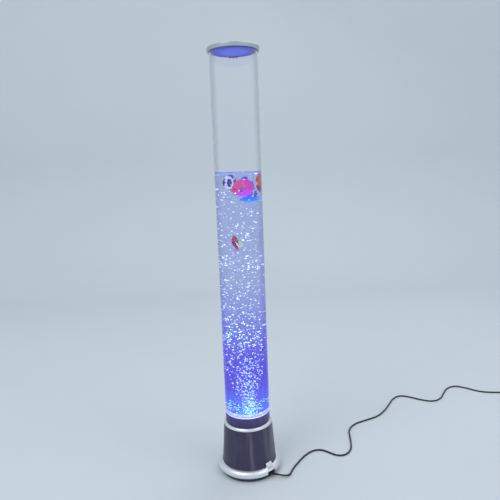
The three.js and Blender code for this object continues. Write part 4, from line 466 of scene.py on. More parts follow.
def make_water_material():
    """Clear water that glows: cyan-blue at the lights, deep violet above them, and pale blue at the top."""
    even = {"Roughness": 0.0, "IOR": 1.33, "Transmission Weight": 1.0}
    nodes, shader = new_material("water", "Lit Water", even, 0.4)
    heights = (0.15, 0.205, 0.235, 0.46)
    # Painted light: the water is clear, and its tint by height follows the lamp's glow in it.
    glow_tints = ((0.16, 0.26, 0.92), (0.17, 0.10, 0.82), (0.61, 0.665, 0.975))
    lights = (colours().water_low, (0.025, 0.008, 0.21), colours().water_top)
    nodes.feed(shader["Base Color"], nodes.by_height(heights, glow_tints, 0.05))
    line = sizes().water_line
    # A brighter band of painted glow just under the water line.
    skin = nodes.ramp(nodes.parts(nodes.place())["Z"], line - 8 * MM, line - 3 * MM)
    glow = nodes.mix(skin, nodes.by_height(heights, lights, 0.04), (0.0, 0.02, 0.30))
    nodes.feed(shader["Emission Color"], glow)


def make_bubble_material():
    """Bubbles catch the light from below, some bright and some dim, as the attribute spark says."""
    nodes, shader = new_material("bubbles", "Air Bubbles", {"Roughness": 0.1, "IOR": 1.2}, 3.0)
    heights = (0.15, 0.21, 0.25, 0.46)
    dim = ((0.03, 0.12, 0.32), (0.01, 0.02, 0.18), (0.13, 0.15, 0.22))
    bright = ((0.50, 0.74, 0.36), (0.54, 1.0, 0.46), (0.46, 0.50, 0.52))
    share = nodes.ramp(nodes.attribute("spark")["Fac"], 0.35, 0.60)
    lights = [nodes.by_height(heights, tones, 0.03) for tones in (dim, bright)]
    nodes.feed(shader["Emission Color"], nodes.mix(share, *lights))
    nodes.feed(shader["Base Color"], nodes.marks((0.10, 0.13, 0.35), (0.5, 0.6, 0.8), 0.8, 300.0))


def make_tube_material():
    """Clear acrylic with faint wipe marks, whose lower cut edge carries the light."""
    nodes, shader = new_material("tube", "Clear Acrylic", {"IOR": 1.49, "Transmission Weight": 1.0}, 0.42)
    face_on = nodes.marks((0.985, 0.99, 1.0), (0.95, 0.965, 0.985), 0.5, 14.0)
    # Towards the edges the tube takes painted blue-violet light from the water low down, and a grey tint near
    # the top.
    side_tint_and_light = ((0.62, 0.60, 1.0), (0.44, 0.38, 0.94), (0.80, 0.83, 0.86))
    side_on = nodes.by_height((0.14, 0.22, 0.26, 0.66), side_tint_and_light)
    facing = nodes.add("ShaderNodeLayerWeight", {"Blend": 0.5})["Facing"]
    nodes.feed(shader["Base Color"], nodes.mix(nodes.ramp(facing, 0.28, 0.62), face_on, side_on))
    nodes.feed(shader["Roughness"], nodes.grain(60.0, 0.015, 0.03)["Roughness"])
    edge = [TUBE_BOTTOM + rise * MM for rise in (0.6, 2.2, 2.2, 5)]
    edge_tones = ((0.62, 0.64, 1.0), (0.05, 0.08, 0.40), BLACK)
    nodes.feed(shader["Emission Color"], nodes.by_height(edge, edge_tones))


def make_disc_material():
    """White plastic lit through from below, brightest in the middle."""
    nodes, shader = new_material("lit_disc", "Lit White Plastic", {"Roughness": 0.45}, 0.75)
    share = nodes.ramp(nodes.from_axis(), 0.008, 0.042)
    spread = nodes.mix(share, lighter(colours().light_tint, 0.5), (0.10, 0.28, 0.90))
    # Cloudy patches of brighter painted light on the disc.
    light_patches = nodes.ramp(nodes.cloud(nodes.place(), 330.0, 2.0), 0.47, 0.60)
    nodes.feed(shader["Emission Color"], nodes.mix(light_patches, spread, (0.80, 0.92, 1.0)))
    nodes.feed(shader["Base Color"], nodes.marks((0.80, 0.82, 0.84), (0.7, 0.74, 0.8), 0.4, 60.0))


def make_cap_underside_material():
    """White plastic under the cap, which the light in the tube turns blue."""
    even = {"Roughness": 0.7, "Specular IOR Level": 0.15}
    nodes, shader = new_material("cap_underside", "Blue Lit Plastic", even, 0.55)
    share = nodes.ramp(nodes.from_axis(), 0.015, 0.047)
    nodes.feed(shader["Emission Color"], nodes.mix(share, (0.12, 0.18, 1.0), (0.04, 0.05, 0.42)))
    nodes.feed(shader["Base Color"], nodes.marks((0.10, 0.12, 0.50), (0.16, 0.18, 0.55), 0.4, 40.0))


def make_fish_material(key):
    even = {"Roughness": 0.3, "Specular IOR Level": 0.15}
    nodes, shader = new_material(key + "_fish", f"Paint of {key} fish", even, 0.6)
    paint = nodes.group("Fish Paint", PAINT_INPUTS, FISH[key]["paint"])
    nodes.feed(shader["Base Color"], paint["Colour"])
    # Painted light: the paint glows a little in its own colour, for the lamp's light that falls on the fish.
    nodes.feed(shader["Emission Color"], paint["Colour"])
    nodes.bump(shader, paint["Height"], 0.25, 0.5)


class LAMP_OT_finishes(bpy.types.Operator):
    """Makes every finish of the lamp from its sizes and colours"""

    bl_idname = "lamp.finishes"
    bl_label = "Finishes"

    def execute(self, context):
        make_fine_grain_group()
        make_soft_marks_group()
        make_height_blend_group()
        make_fish_paint_group()
        make_surfaces()
        make_shaded_silver()
        make_water_material()
        make_bubble_material()
        make_tube_material()
        make_disc_material()
        make_cap_underside_material()
        for key in FISH:
            make_fish_material(key)
        return {"FINISHED"}


# Meshes


def finished_mesh(made, outwards=True):
    """The plain mesh of a bmesh, with its faces turned outwards."""
    if outwards:
        bmesh.ops.recalc_face_normals(made, faces=made.faces)
    mesh = bpy.data.meshes.new("mesh")
    made.to_mesh(mesh)
    made.free()
    return mesh


def moved(mesh, matrix):
    mesh.transform(matrix)
    return mesh


def shift(x, y, z=0.0):
    return Matrix.Translation((x, y, z))


def turn(angle, axis="Z"):
    return Matrix.Rotation(angle, 4, axis)


def over(node_name, height=0.0):
    """A move to a height on the upright line through a frame node's middle."""
    spot = middle(node_name)
    return shift(spot.x, spot.y, height)


def add_skin(made, rings, closed=False):
    """Faces from each ring of points to the next, and from the last to the first if closed."""
    for first, second in zip(rings, rings[1:] + (rings[:1] if closed else [])):
        for i in range(len(first)):
            j = (i + 1) % len(first)
            corners = list(dict.fromkeys([first[i], first[j], second[j], second[i]]))
            if len(corners) > 2:
                made.faces.new(corners)


def turned_mesh(outline, sides=ROUND_SIDES):
    """A closed surface turned about Z from (radius, height) points that end on the axis or close."""
    made = bmesh.new()
    angles = [2 * math.pi * i / sides for i in range(sides)]
    rings = []
    for radius, height in outline:
        if radius < TINY:
            rings.append([made.verts.new((0.0, 0.0, height))] * sides)
        else:
            points = [(radius * math.cos(a), radius * math.sin(a), height) for a in angles]
            rings.append([made.verts.new(point) for point in points])
    add_skin(made, rings, closed=outline[0][0] > TINY)
    return finished_mesh(made)


def rod_mesh(radius, bottom, top, sides, place=Matrix()):
    """An upright round rod, its sizes in millimetres, moved to its place."""
    outline = [(0.0, bottom), (radius, bottom), (radius, top), (0.0, top)]
    return moved(turned_mesh([(r * MM, z * MM) for r, z in outline], sides), place)


def box_mesh(lowest, highest, angle=0.0):
    """A box between two corners, turned about Z."""
    made = bmesh.new()
    bmesh.ops.create_cube(made, size=1.0)
    lowest, highest = Vector(lowest), Vector(highest)
    stretch = Matrix.Diagonal((*(highest - lowest), 1.0))
    return moved(finished_mesh(made), turn(angle) @ Matrix.Translation((highest + lowest) / 2) @ stretch)


def joined_mesh(meshes):
    made = bmesh.new()
    for mesh in meshes:
        made.from_mesh(mesh)
    return finished_mesh(made, outwards=False)


def arc(centre_radius, centre_height, across, up, start, end, steps=8):
    """Points on a quarter or part of an ellipse in an outline, its angles in degrees."""
    angles = [math.radians(start + (end - start) * step / steps) for step in range(steps + 1)]
    return [(centre_radius + across * math.cos(a), centre_height + up * math.sin(a)) for a in angles]


def corner(radius, height, edge, start, steps=3):
    """A quarter round in place of a sharp corner at a radius and height, from a start angle on."""
    diagonal = math.radians(start + 45)
    inwards = math.copysign(edge, math.cos(diagonal))
    downwards = math.copysign(edge, math.sin(diagonal))
    return arc(radius - inwards, height - downwards, edge, edge, start, start + 90, steps)


def rounded_section(inner, outer, bottom, top, edge, steps=3):
    """A rectangle with rounded corners, as an outline."""
    corners = ((outer, bottom, -90), (outer, top, 0), (inner, top, 90), (inner, bottom, 180))
    return [point for r, z, start in corners for point in corner(r, z, edge, start, steps)]


# Pieces


def new_object(name, data):
    data.name = name
    piece = bpy.data.objects.new(name, data)
    bpy.context.scene.collection.objects.link(piece)
    return piece


def baked(piece):
    """The piece with its modifiers worked into its mesh."""
    graph = bpy.context.evaluated_depsgraph_get()
    mesh = bpy.data.meshes.new_from_object(piece.evaluated_get(graph), depsgraph=graph)
    mesh.name = piece.name
    piece.modifiers.clear()
    piece.data = mesh
    return piece


def change_piece(piece, kind, **settings):
    """Works one modifier into the piece."""
    change = piece.modifiers.new("change", kind)
    for key, value in settings.items():
        setattr(change, key, value)
    return baked(piece)


def combine(piece, operation, *meshes):
    """Cuts closed meshes out of the piece, or joins them on."""
    for mesh in meshes:
        tool = new_object("boolean_tool", mesh)
        change_piece(piece, "BOOLEAN", operation=operation, solver="EXACT", object=tool)
        bpy.data.objects.remove(tool)
    return piece


def bevelled(piece, width, segments=2, angle=35):
    limit = {"limit_method": "ANGLE", "angle_limit": math.radians(angle)}
    return change_piece(piece, "BEVEL", width=width, segments=segments, **limit)


def smooth(piece, angle=32):
    """Smooth shading whose normals lean to the large faces, so that flats stay flat beside rounds."""
    piece.data.shade_smooth()
    piece.data.set_sharp_from_angle(angle=math.radians(angle))
    return change_piece(piece, "WEIGHTED_NORMAL", keep_sharp=True)


def paint(piece, finishes, number_of=None):
    """Gives the piece its materials. Each face keeps its slot number, or gets the one of the rule."""
    faces = getattr(piece.data, "polygons", ())
    numbers = [number_of(face) if number_of else face.material_index for face in faces]
    piece.data.materials.clear()
    for finish in finishes:
        piece.data.materials.append(MATERIALS[finish])
    for face, number in zip(faces, numbers):
        face.material_index = number


def dress(piece, finishes, body, slot_name, *nodes, number_of=None):
    """Gives the piece its materials and body, and lets it stand for frame nodes. Its slot name is not used.
    """
    paint(piece, finishes, number_of)
    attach(piece, body)
    if nodes:
        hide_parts(*nodes)
    return piece


def make_elastic(node, finish):
    """A smoothed copy of a spring or bellows from the frame, with its finish, in place of the frame node."""
    made = bmesh.new()
    made.from_mesh(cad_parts[node].data)
    bmesh.ops.remove_doubles(made, verts=made.verts, dist=0.001 * MM)
    piece = smooth(new_object(node + "_finish", finished_mesh(made, outwards=False)))
    paint(piece, [finish])
    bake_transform(piece)
    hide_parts(node)


# Camera, floor and light


def make_camera():
    camera = new_object("camera", bpy.data.cameras.new("camera"))
    camera.data.lens = CAMERA_LENS
    camera.data.sensor_width = 36.0
    camera.data.clip_start = 0.02
    tilt = turn(-CAMERA_YAW) @ turn(math.pi / 2 - CAMERA_PITCH, "X") @ turn(CAMERA_ROLL)
    camera.matrix_world = Matrix.Translation(CAMERA_PLACE) @ tilt
    bpy.context.scene.camera = camera


def make_floor():
    """A floor that curves up into a backdrop."""
    half_width, front, bend, radius, wall_top = 4.0, -3.0, 1.6, 0.8, 3.4
    profile = [(front, 0.0), (0.0, 0.0)] + arc(bend, radius, radius, radius, -90, 0, 12)
    profile.append((bend + radius, wall_top))
    made = bmesh.new()
    rows = [[made.verts.new((side, y, z)) for side in (-half_width, half_width)] for y, z in profile]
    for first, second in zip(rows, rows[1:]):
        made.faces.new([*first, *second[::-1]])
    floor = new_object("floor", finished_mesh(made, outwards=False))
    floor.data.shade_smooth()
    nodes, shader = new_material("floor", "Pale Floor", {"Roughness": 0.85})
    tone = colours().backdrop
    nodes.feed(shader["Base Color"], nodes.marks(tone, [c * 0.97 for c in tone], 0.5, 3.0))
    paint(floor, ["floor"])


def make_area_light(name, place, target, size, power, colour=EVEN):
    """A round soft light that points at its target."""
    light = new_object(name, bpy.data.lights.new(name, "AREA"))
    light.data.shape = "DISK"
    light.data.size = size
    light.data.energy = power
    light.data.color = colour
    light.location = place
    light.rotation_euler = (Vector(target) - Vector(place)).to_track_quat("-Z", "Y").to_euler()


def make_world():
    """Even studio light, and the backdrop's tone wherever the camera, metal or glass sees past the floor."""
    world = bpy.data.worlds.new("studio")
    bpy.context.scene.world = world
    world.use_nodes = True
    world.node_tree.nodes.clear()
    nodes = Nodes(world.node_tree)
    path = nodes.add("ShaderNodeLightPath")
    seen = nodes.maths("MAXIMUM", path["Is Camera Ray"], path["Is Transmission Ray"])
    seen = nodes.maths("MAXIMUM", seen, path["Is Glossy Ray"])
    lit = nodes.add("ShaderNodeBackground", {"Color": (0.92, 0.96, 1.0), "Strength": 0.75})[0]
    shown = nodes.add("ShaderNodeBackground", {"Color": colours().backdrop, "Strength": 1.0})[0]
    mixed = nodes.add("ShaderNodeMixShader", {0: seen, 1: lit, 2: shown})[0]
    nodes.add("ShaderNodeOutputWorld", {"Surface": mixed})


class LAMP_OT_stage(bpy.types.Operator):
    """Sets up the camera, the floor, the backdrop and the studio light"""

    bl_idname = "lamp.stage"
    bl_label = "Camera, Floor and Light"

    def execute(self, context):
        context.scene.view_settings.view_transform = "Standard"
        make_camera()
        make_floor()
        make_world()
        make_area_light("key light", (-1.4, -1.5, 2.9), (0.0, 0.0, 0.4), 1.8, 27.0)
        make_area_light("fill light", (1.9, -1.3, 2.8), (0.1, 0.0, 0.3), 1.8, 13.0, (0.94, 0.97, 1.0))
        make_area_light("back light", (0.8, 1.2, 2.4), (0.0, 0.0, 0.5), 1.4, 8.0)
        return {"FINISHED"}


# The lead

COIL_CENTRE = (0.792, 0.279)
COIL_RADIUS = 27.25 * MM
COIL_PITCH = 4.55 * MM
COIL_FLOOR = 3.3 * MM
COIL_LOOPS_IN = 2
COIL_LOOPS_CLIMB = 0.5
COIL_LOOPS_OUT = 1.75
COIL_STEPS = 24
TIE_ANGLE = math.radians(200)
GLAND_INNER = 57 * MM
GLAND_OUTER = 63.5 * MM
GLAND_BOTTOM = 4.9 * MM
GLAND_TOP = 16.9 * MM
GLAND_HEIGHT = 8.4 * MM
NOSE_ROOT_RADIUS = 3.6 * MM
NOSE_TIP_RADIUS = 2.35 * MM
NOSE_ROOT_DEPTH = NOSE_ROOT_RADIUS * math.sin(NOSE_TURN) + 0.3 * MM
NOSE_LENGTH = 20 * MM + NOSE_ROOT_DEPTH
RELIEF_LENGTH = 18.3 * MM
RELIEF_TIP = (0.1973, 0.012)

# The lead's line in millimetres, from the strain relief to the coil
CORD_ROUTE = [
    (70.6, -57.2, 8), (76.3, -57.2, 7), (81.9, -55.1, 5.7), (86.6, -51, 4.3), (90.8, -43.6, 2.9),
    (95, -33, 2.3), (100.6, -21.6, 2.2), (110.6, -5.5, 2.2), (121.8, 11.5, 2.2), (136, 29, 2.2),
    (150.5, 41.5, 2.2), (163, 46.5, 2.2), (175, 45.5, 2.2), (187, 37.5, 2.2), (199.5, 26, 2.2),
    (209.5, 19.8, 2.2), (221.5, 19, 2.2), (233.5, 25.5, 2.2), (245, 42, 2.2), (251.5, 66, 2.2),
    (256, 98, 2.2), (262, 132, 2.2), (283, 161, 2.2), (318, 180, 2.2), (352, 198, 2.2), (382, 229, 2.2),
    (408, 268, 2.2), (431, 300, 2.2), (453, 313, 2.2), (477, 304, 2.2), (505, 283, 2.2),
    (535, 272, 2.2), (561, 285, 2.2), (585, 318, 2.2), (611, 350, 2.2), (638, 360.9, 2.2),
    (662, 348, 2.2), (693, 320, 2.2), (735, 308, 2.2), (768, 306.25, 2.85),
]
# Its end, from the coil up to the adaptor's relief, as distance back and height
TAIL_ROUTE = [(0.265, 0.0069), (0.249, 0.0034), (0.233, 0.0030), (0.219, 0.0064), (0.206, 0.0108)]


def coil_points():
    """The coil's turns: in along the surface, up one layer, and out on top."""
    points = []
    turn_out = COIL_LOOPS_IN + COIL_LOOPS_CLIMB
    halfway = (COIL_LOOPS_IN + turn_out) / 2
    for step in range(int((turn_out + COIL_LOOPS_OUT) * COIL_STEPS) + 1):
        loops = step / COIL_STEPS
        radius = COIL_RADIUS - COIL_PITCH * (min(loops, halfway) - max(loops - halfway, 0.0))
        share = min(max((loops - COIL_LOOPS_IN) / COIL_LOOPS_CLIMB, 0.0), 1.0)
        climb = share * share * (3 - 2 * share)
        angle = math.pi / 2 - loops * 2 * math.pi
        x = COIL_CENTRE[0] + radius * math.cos(angle)
        y = COIL_CENTRE[1] + radius * math.sin(angle)
        points.append((x, y, COIL_FLOOR + climb * COIL_PITCH))
    return points


def point_from_nose(distance):
    """A point on the axis of the strain relief's nose."""
    root = GLAND_OUTER - NOSE_ROOT_DEPTH
    angle = EXIT_ANGLE + NOSE_TURN
    x = root * math.cos(EXIT_ANGLE) + distance * math.cos(angle)
    return (x, root * math.sin(EXIT_ANGLE) + distance * math.sin(angle), GLAND_HEIGHT)


def cord_points():
    """The lead's whole line, from the strain relief to the adaptor's relief."""
    start = [point_from_nose(NOSE_LENGTH + gap * MM) for gap in (-2.7, 4.3)]
    route = [(x * MM, y * MM, z * MM) for x, y, z in CORD_ROUTE]
    turns = coil_points()
    back, height = RELIEF_TIP
    tail = [(turns[-1][0], y, z) for y, z in (*TAIL_ROUTE, (back, height), (back - 3 * MM, height))]
    return start + route + turns + tail


def make_cord():
    """The lead as one curve with automatic handles, so that it bends smoothly."""
    points = cord_points()
    curve = bpy.data.curves.new("lead", "CURVE")
    curve.dimensions = "3D"
    curve.bevel_depth = sizes().cord_diameter / 2
    curve.bevel_resolution = 4
    curve.resolution_u = 5
    curve.use_fill_caps = True
    line = curve.splines.new("BEZIER")
    line.bezier_points.add(len(points) - 1)
    for spot, point in zip(line.bezier_points, points):
        spot.co = point
        spot.handle_left_type = "AUTO"
        spot.handle_right_type = "AUTO"
    lead = new_object("lead", curve)
    dress(lead, ["cable"], "lamp", "black_plastic", "cord", "cord_coil", "cord_tail")
    return lead, points


def ribbed_mesh(root_radius, length, ribs, place):
    """A tapered relief with grooves between its ribs, moved to its place."""
    steps = ribs * 4
    outline = [(0.0, 0.0)]
    for i in range(steps + 1):
        share = i / steps
        groove = 0.45 * MM if i % 4 in (2, 3) and i < steps else 0.0
        outline.append((root_radius + (NOSE_TIP_RADIUS - root_radius) * share - groove, length * share))
    return moved(turned_mesh(outline + [(0.0, length)], SMALL_SIDES), place)


def make_gland():
    """Strain relief: a block in the notch, with a ribbed nose round the lead."""
    half = NOTCH_HALF_WIDTH - 0.3 * MM
    block = box_mesh((GLAND_INNER, -half, GLAND_BOTTOM), (GLAND_OUTER, half, GLAND_TOP), EXIT_ANGLE)
    piece = bevelled(new_object("strain_relief", block), 1.0 * MM, 3)
    place = shift(*point_from_nose(0.0)) @ turn(EXIT_ANGLE + NOSE_TURN) @ turn(math.pi / 2, "Y")
    combine(piece, "UNION", ribbed_mesh(NOSE_ROOT_RADIUS, NOSE_LENGTH, 8, place))
    dress(smooth(piece), ["rubber"], "lamp", "foot_rubber", "cord_gland")


def make_tie():
    """Rubber band with rounded corners round the turns of the coil."""
    inner, outer = 13.9 * MM, 30.35 * MM
    bottom, top = low("coil_tie").z, high("coil_tie").z
    edge, wall, half = 3 * MM, 0.8 * MM, 2.5 * MM
    made = bmesh.new()
    loops = []
    for inset, side in ((0.0, -half), (0.0, half), (wall, half), (wall, -half)):
        section = (inner + inset, outer - inset, bottom + inset, top - inset)
        line = rounded_section(*section, edge - inset, 6)
        loops.append([made.verts.new((across, side, up)) for across, up in line])
    add_skin(made, loops, closed=True)
    piece = bevelled(new_object("tie", finished_mesh(made)), 0.25 * MM)
    moved(piece.data, shift(*COIL_CENTRE) @ turn(TIE_ANGLE))
    return dress(smooth(piece, 50), ["rubber"], "lamp", "foot_rubber", "coil_tie")


def make_adaptor():
    """Adaptor with rounded edges, a seam round its middle and a ribbed relief."""
    lowest, highest = low("adaptor_body"), high("adaptor_body")
    highest.y = RELIEF_TIP[0] - RELIEF_LENGTH
    piece = bevelled(new_object("adaptor", box_mesh(lowest, highest)), 4.2 * MM, 5, 60)
    seam_height = (lowest.z + highest.z) / 2 + 1.5 * MM
    groove, depth = 0.35 * MM, 0.5 * MM

    def slab(grown, half):
        """A slab at the seam, its sides grown past the adaptor's."""
        ends = [(side.x + grown * way, side.y + grown * way) for side, way in ((lowest, -1), (highest, 1))]
        return box_mesh((*ends[0], seam_height - half), (*ends[1], seam_height + half))

    core = bevelled(new_object("core", slab(-depth, 2 * groove)), 3.8 * MM, 5, 60)
    seam = combine(new_object("seam", slab(MM, groove)), "DIFFERENCE", core.data)
    combine(piece, "DIFFERENCE", seam.data)
    for helper in (core, seam):
        bpy.data.objects.remove(helper)
    centre_x = (lowest.x + highest.x) / 2
    place = shift(centre_x, highest.y - 0.3 * MM, RELIEF_TIP[1]) @ TO_BACK
    combine(piece, "UNION", ribbed_mesh(4 * MM, RELIEF_LENGTH, 7, place))
    for number in (1, 2):
        seat = rod_mesh(2.4, 0, 8, 32, over(f"adaptor_pin_{number}", 20.1 * MM))
        combine(piece, "DIFFERENCE", seat)
    return dress(smooth(piece, 40), ["black_plastic"], "lamp", "black_plastic", "adaptor_body")


def make_pin(number):
    """A round pin, with a dark sleeve on the half nearest the adaptor."""
    node = f"adaptor_pin_{number}"
    bottom, top = low(node).z, high(node).z
    sleeve_top = bottom + (top - bottom) * 0.55
    radius = 2 * MM
    tip_radius = radius - 0.12 * MM
    sleeve = [(0.0, bottom), (radius, bottom), (radius, sleeve_top), (0.0, sleeve_top)]
    tip = [(0.0, sleeve_top), (tip_radius, sleeve_top)]
    tip += arc(0.0, top - tip_radius, tip_radius, tip_radius, 0, 90, 6)[:-1] + [(0.0, top)]
    mesh = moved(joined_mesh([turned_mesh(sleeve, 32), turned_mesh(tip, 32)]), over(node))
    piece = smooth(new_object(f"plug_pin_{number}", mesh))

    def on_tip(face):
        return face.center.z > sleeve_top + 0.01 * MM

    finishes = ["black_plastic", "bright"]
    return dress(piece, finishes, "lamp", "bright_metal", node, number_of=on_tip)


class LAMP_OT_lead(bpy.types.Operator):
    """Makes the lead, its strain relief, its coil and tie, and the adaptor"""

    bl_idname = "lamp.lead"
    bl_label = "Lead and Adaptor"

    def execute(self, context):
        lead, points = make_cord()
        make_gland()
        adaptor = make_adaptor()
        pins = [make_pin(number) for number in (1, 2)]
        tie = make_tie()
        return {"FINISHED"}


# The base


def side_radius(height):
    """Outer radius of the shell's conical side at a height."""
    slope = (SHELL_BOTTOM_RADIUS - SHELL_TOP_RADIUS) / (SHOULDER_EDGE - SHELL_BOTTOM)
    return SHELL_TOP_RADIUS + (SHOULDER_EDGE - height) * slope


def make_shell():
    """Shell with a rounded shoulder: its side and neck in silver darkened by painted shade and reflection,
    and its shoulder in the plain bright silver.
    """
    bore = tube_bore()
    neck_top = high("base_shell").z
    lip = 0.5 * MM
    screw_circle = 51.3 * MM
    rise = SHOULDER_TOP - SHOULDER_EDGE
    outline = corner(side_radius(SHELL_BOTTOM), SHELL_BOTTOM, lip, -90)
    outline += arc(TUBE_RADIUS, SHOULDER_EDGE, SHELL_TOP_RADIUS - TUBE_RADIUS, rise, 0, 90, 12)
    outline += corner(TUBE_RADIUS, neck_top, lip, 0) + [(bore, neck_top), (bore, SHOULDER_UNDERSIDE)]
    outline += [(side_radius(height) - SHELL_WALL, height) for height in (SHOULDER_UNDERSIDE, SHELL_BOTTOM)]
    piece = new_object("shell", turned_mesh(outline))
    for i in range(4):
        angle = i * math.pi / 2
        place = turn(angle) @ shift(screw_circle, 0.0)
        boss = rod_mesh(4.2, 4.9, 44.9, 24, place)
        pilot_hole = rod_mesh(1.8, 3, 19.9, 24, place)
        rib = box_mesh((screw_circle, -1.3 * MM, 20.9 * MM), (58.5 * MM, 1.3 * MM, 44.9 * MM), angle)
        combine(piece, "UNION", boss)
        combine(piece, "DIFFERENCE", pilot_hole)
        combine(piece, "UNION", rib)
    switch_hole = rod_mesh(6.2, 0, 90, 48, shift(0.0, 30 * MM, middle("power_button").z) @ TO_BACK)
    combine(piece, "DIFFERENCE", switch_hole)

    def on_shoulder(face):
        spot = face.center
        in_height = SHOULDER_EDGE - 0.6 * MM < spot.z < SHOULDER_TOP + 0.2 * MM
        return in_height and math.hypot(spot.x, spot.y) > TUBE_RADIUS - 0.1 * MM

    # The shoulder takes the plain silver; the side and neck take the silver with painted shade.
    finishes = ["shaded_silver", "silver"]
    dress(smooth(piece), finishes, "lamp", "satin_silver", "base_shell", number_of=on_shoulder)


def notch_mesh():
    lowest = (54 * MM, -NOTCH_HALF_WIDTH, 4.6 * MM)
    return box_mesh(lowest, (80 * MM, NOTCH_HALF_WIDTH, NOTCH_TOP), EXIT_ANGLE)


def hood_mesh():
    """The hood over the notch, which leans on the shell's side."""
    gap, half = 0.6 * MM, 8.5 * MM
    top = high("foot_ring").z
    inner_low = side_radius(NOTCH_TOP) + gap
    inner_high = side_radius(top) + gap
    section = [
        (inner_low, NOTCH_TOP),
        (inner_low + 6.6 * MM, NOTCH_TOP),
        (inner_low + 6.2 * MM, NOTCH_TOP + 8.5 * MM),
        (inner_high + 3.6 * MM, top - 2.4 * MM),
        (inner_high + 2.0 * MM, top),
        (inner_high, top),
    ]
    made = bmesh.new()
    sides = [[made.verts.new((r, y, z)) for r, z in section] for y in (-half, half)]
    for side in sides:
        made.faces.new(side)
    add_skin(made, sides)
    hood = bevelled(new_object("hood", finished_mesh(made)), 1.4 * MM, 4, 20)
    mesh = moved(hood.data, turn(EXIT_ANGLE))
    bpy.data.objects.remove(hood)
    return mesh


def make_foot_ring():
    """Rounded ring round the shell's foot, with its notch and the hood over it."""
    radius, bottom, top = high("foot_ring").x, low("foot_ring").z, 24.5 * MM
    ledge_top, widest = bottom + 7 * MM, bottom + 4.8 * MM
    gap, low_round, lip, bore = 0.3 * MM, 3.4 * MM, 0.4 * MM, 56 * MM
    top_bore, ledge_bore = [side_radius(height) + gap for height in (top, ledge_top)]
    outline = arc(radius - low_round, widest, low_round, widest - bottom, -90, 0, 12)
    outline += arc(top_bore + lip, widest, radius - top_bore - lip, top - widest, 0, 90, 18)[1:]
    outline += [(top_bore, top - lip), (ledge_bore, ledge_top), (bore, ledge_top), (bore, bottom)]
    piece = new_object("foot_ring_finish", turned_mesh(outline, FINE_SIDES))
    combine(piece, "UNION", hood_mesh())
    combine(piece, "DIFFERENCE", notch_mesh())

    def in_shaded_notch(face):
        spot = turn(-EXIT_ANGLE) @ face.center
        inside = abs(spot.y) < NOTCH_HALF_WIDTH + 0.05 * MM and spot.z < NOTCH_TOP + 0.05 * MM
        return inside and spot.x > 50 * MM

    # The notch's walls get the black finish: painted shade in the recess.
    finishes = ["silver", "black_plastic"]
    dress(smooth(piece, 40), finishes, "lamp", "satin_silver", "foot_ring", number_of=in_shaded_notch)


def make_plate():
    """Dish that closes the base, with pockets, sunk screw holes and vents in its underside."""
    radius, bottom, top = high("base_plate").x, low("base_plate").z, 9.6 * MM
    floor_top, rim, edge = 4.6 * MM, 2.4 * MM, 0.8 * MM
    outline = [(0.0, bottom)] + corner(radius, bottom, edge, -90, 4) + corner(radius, top, edge, 0, 4)
    outline += [(radius - rim, top), (radius - rim, floor_top), (0.0, floor_top)]
    piece = new_object("base_plate_finish", turned_mesh(outline, FINE_SIDES))
    head, hole, head_depth, depth = 3.3 * MM, 1.8 * MM, 3.4 * MM, 6 * MM
    sink = [(0.0, 0.0), (head, 0.0), (head, head_depth), (hole, head_depth), (hole, depth), (0.0, depth)]
    cuts = [notch_mesh()]
    for number in range(1, 5):
        pocket = rod_mesh(7.3, 0, 2.7, 48, over(f"rubber_foot_{number}"))
        screw_hole = moved(turned_mesh(sink, 32), over(f"plate_screw_{number}"))
        cuts += [pocket, screw_hole]
    for i in range(6):
        angle = math.pi / 6 + i * math.pi / 3
        vent = box_mesh((8 * MM, -1.5 * MM, 0.0), (22 * MM, 1.5 * MM, depth), angle)
        cuts.append(vent)
    combine(piece, "DIFFERENCE", *cuts)
    posts = [rod_mesh(3, 4, 10, 24, over(f"board_screw_{number}")) for number in (1, 2)]
    combine(piece, "UNION", *posts)
    dress(smooth(piece), ["plate"], "lamp", "base_plate_grey", "base_plate")


def end_tree(nodes, result, geometry, finish):
    """Makes a geometry tree's copies real and gives them their finish."""
    real = nodes.add("GeometryNodeRealizeInstances", {0: geometry})[0]
    painted = nodes.add("GeometryNodeSetMaterial", {"Geometry": real, "Material": finish})[0]
    nodes.feed(result["Mesh"], painted)


def grown_piece(name, tree, values):
    """A piece made by a geometry tree, whose inputs are set by their sockets' identifiers."""
    piece = new_object(name, bpy.data.meshes.new(name))
    change = piece.modifiers.new("tree", "NODES")
    change.node_group = tree
    for item in tree.interface.items_tree:
        if item.in_out == "INPUT":
            change[item.identifier] = values[item.name]
    return baked(piece)


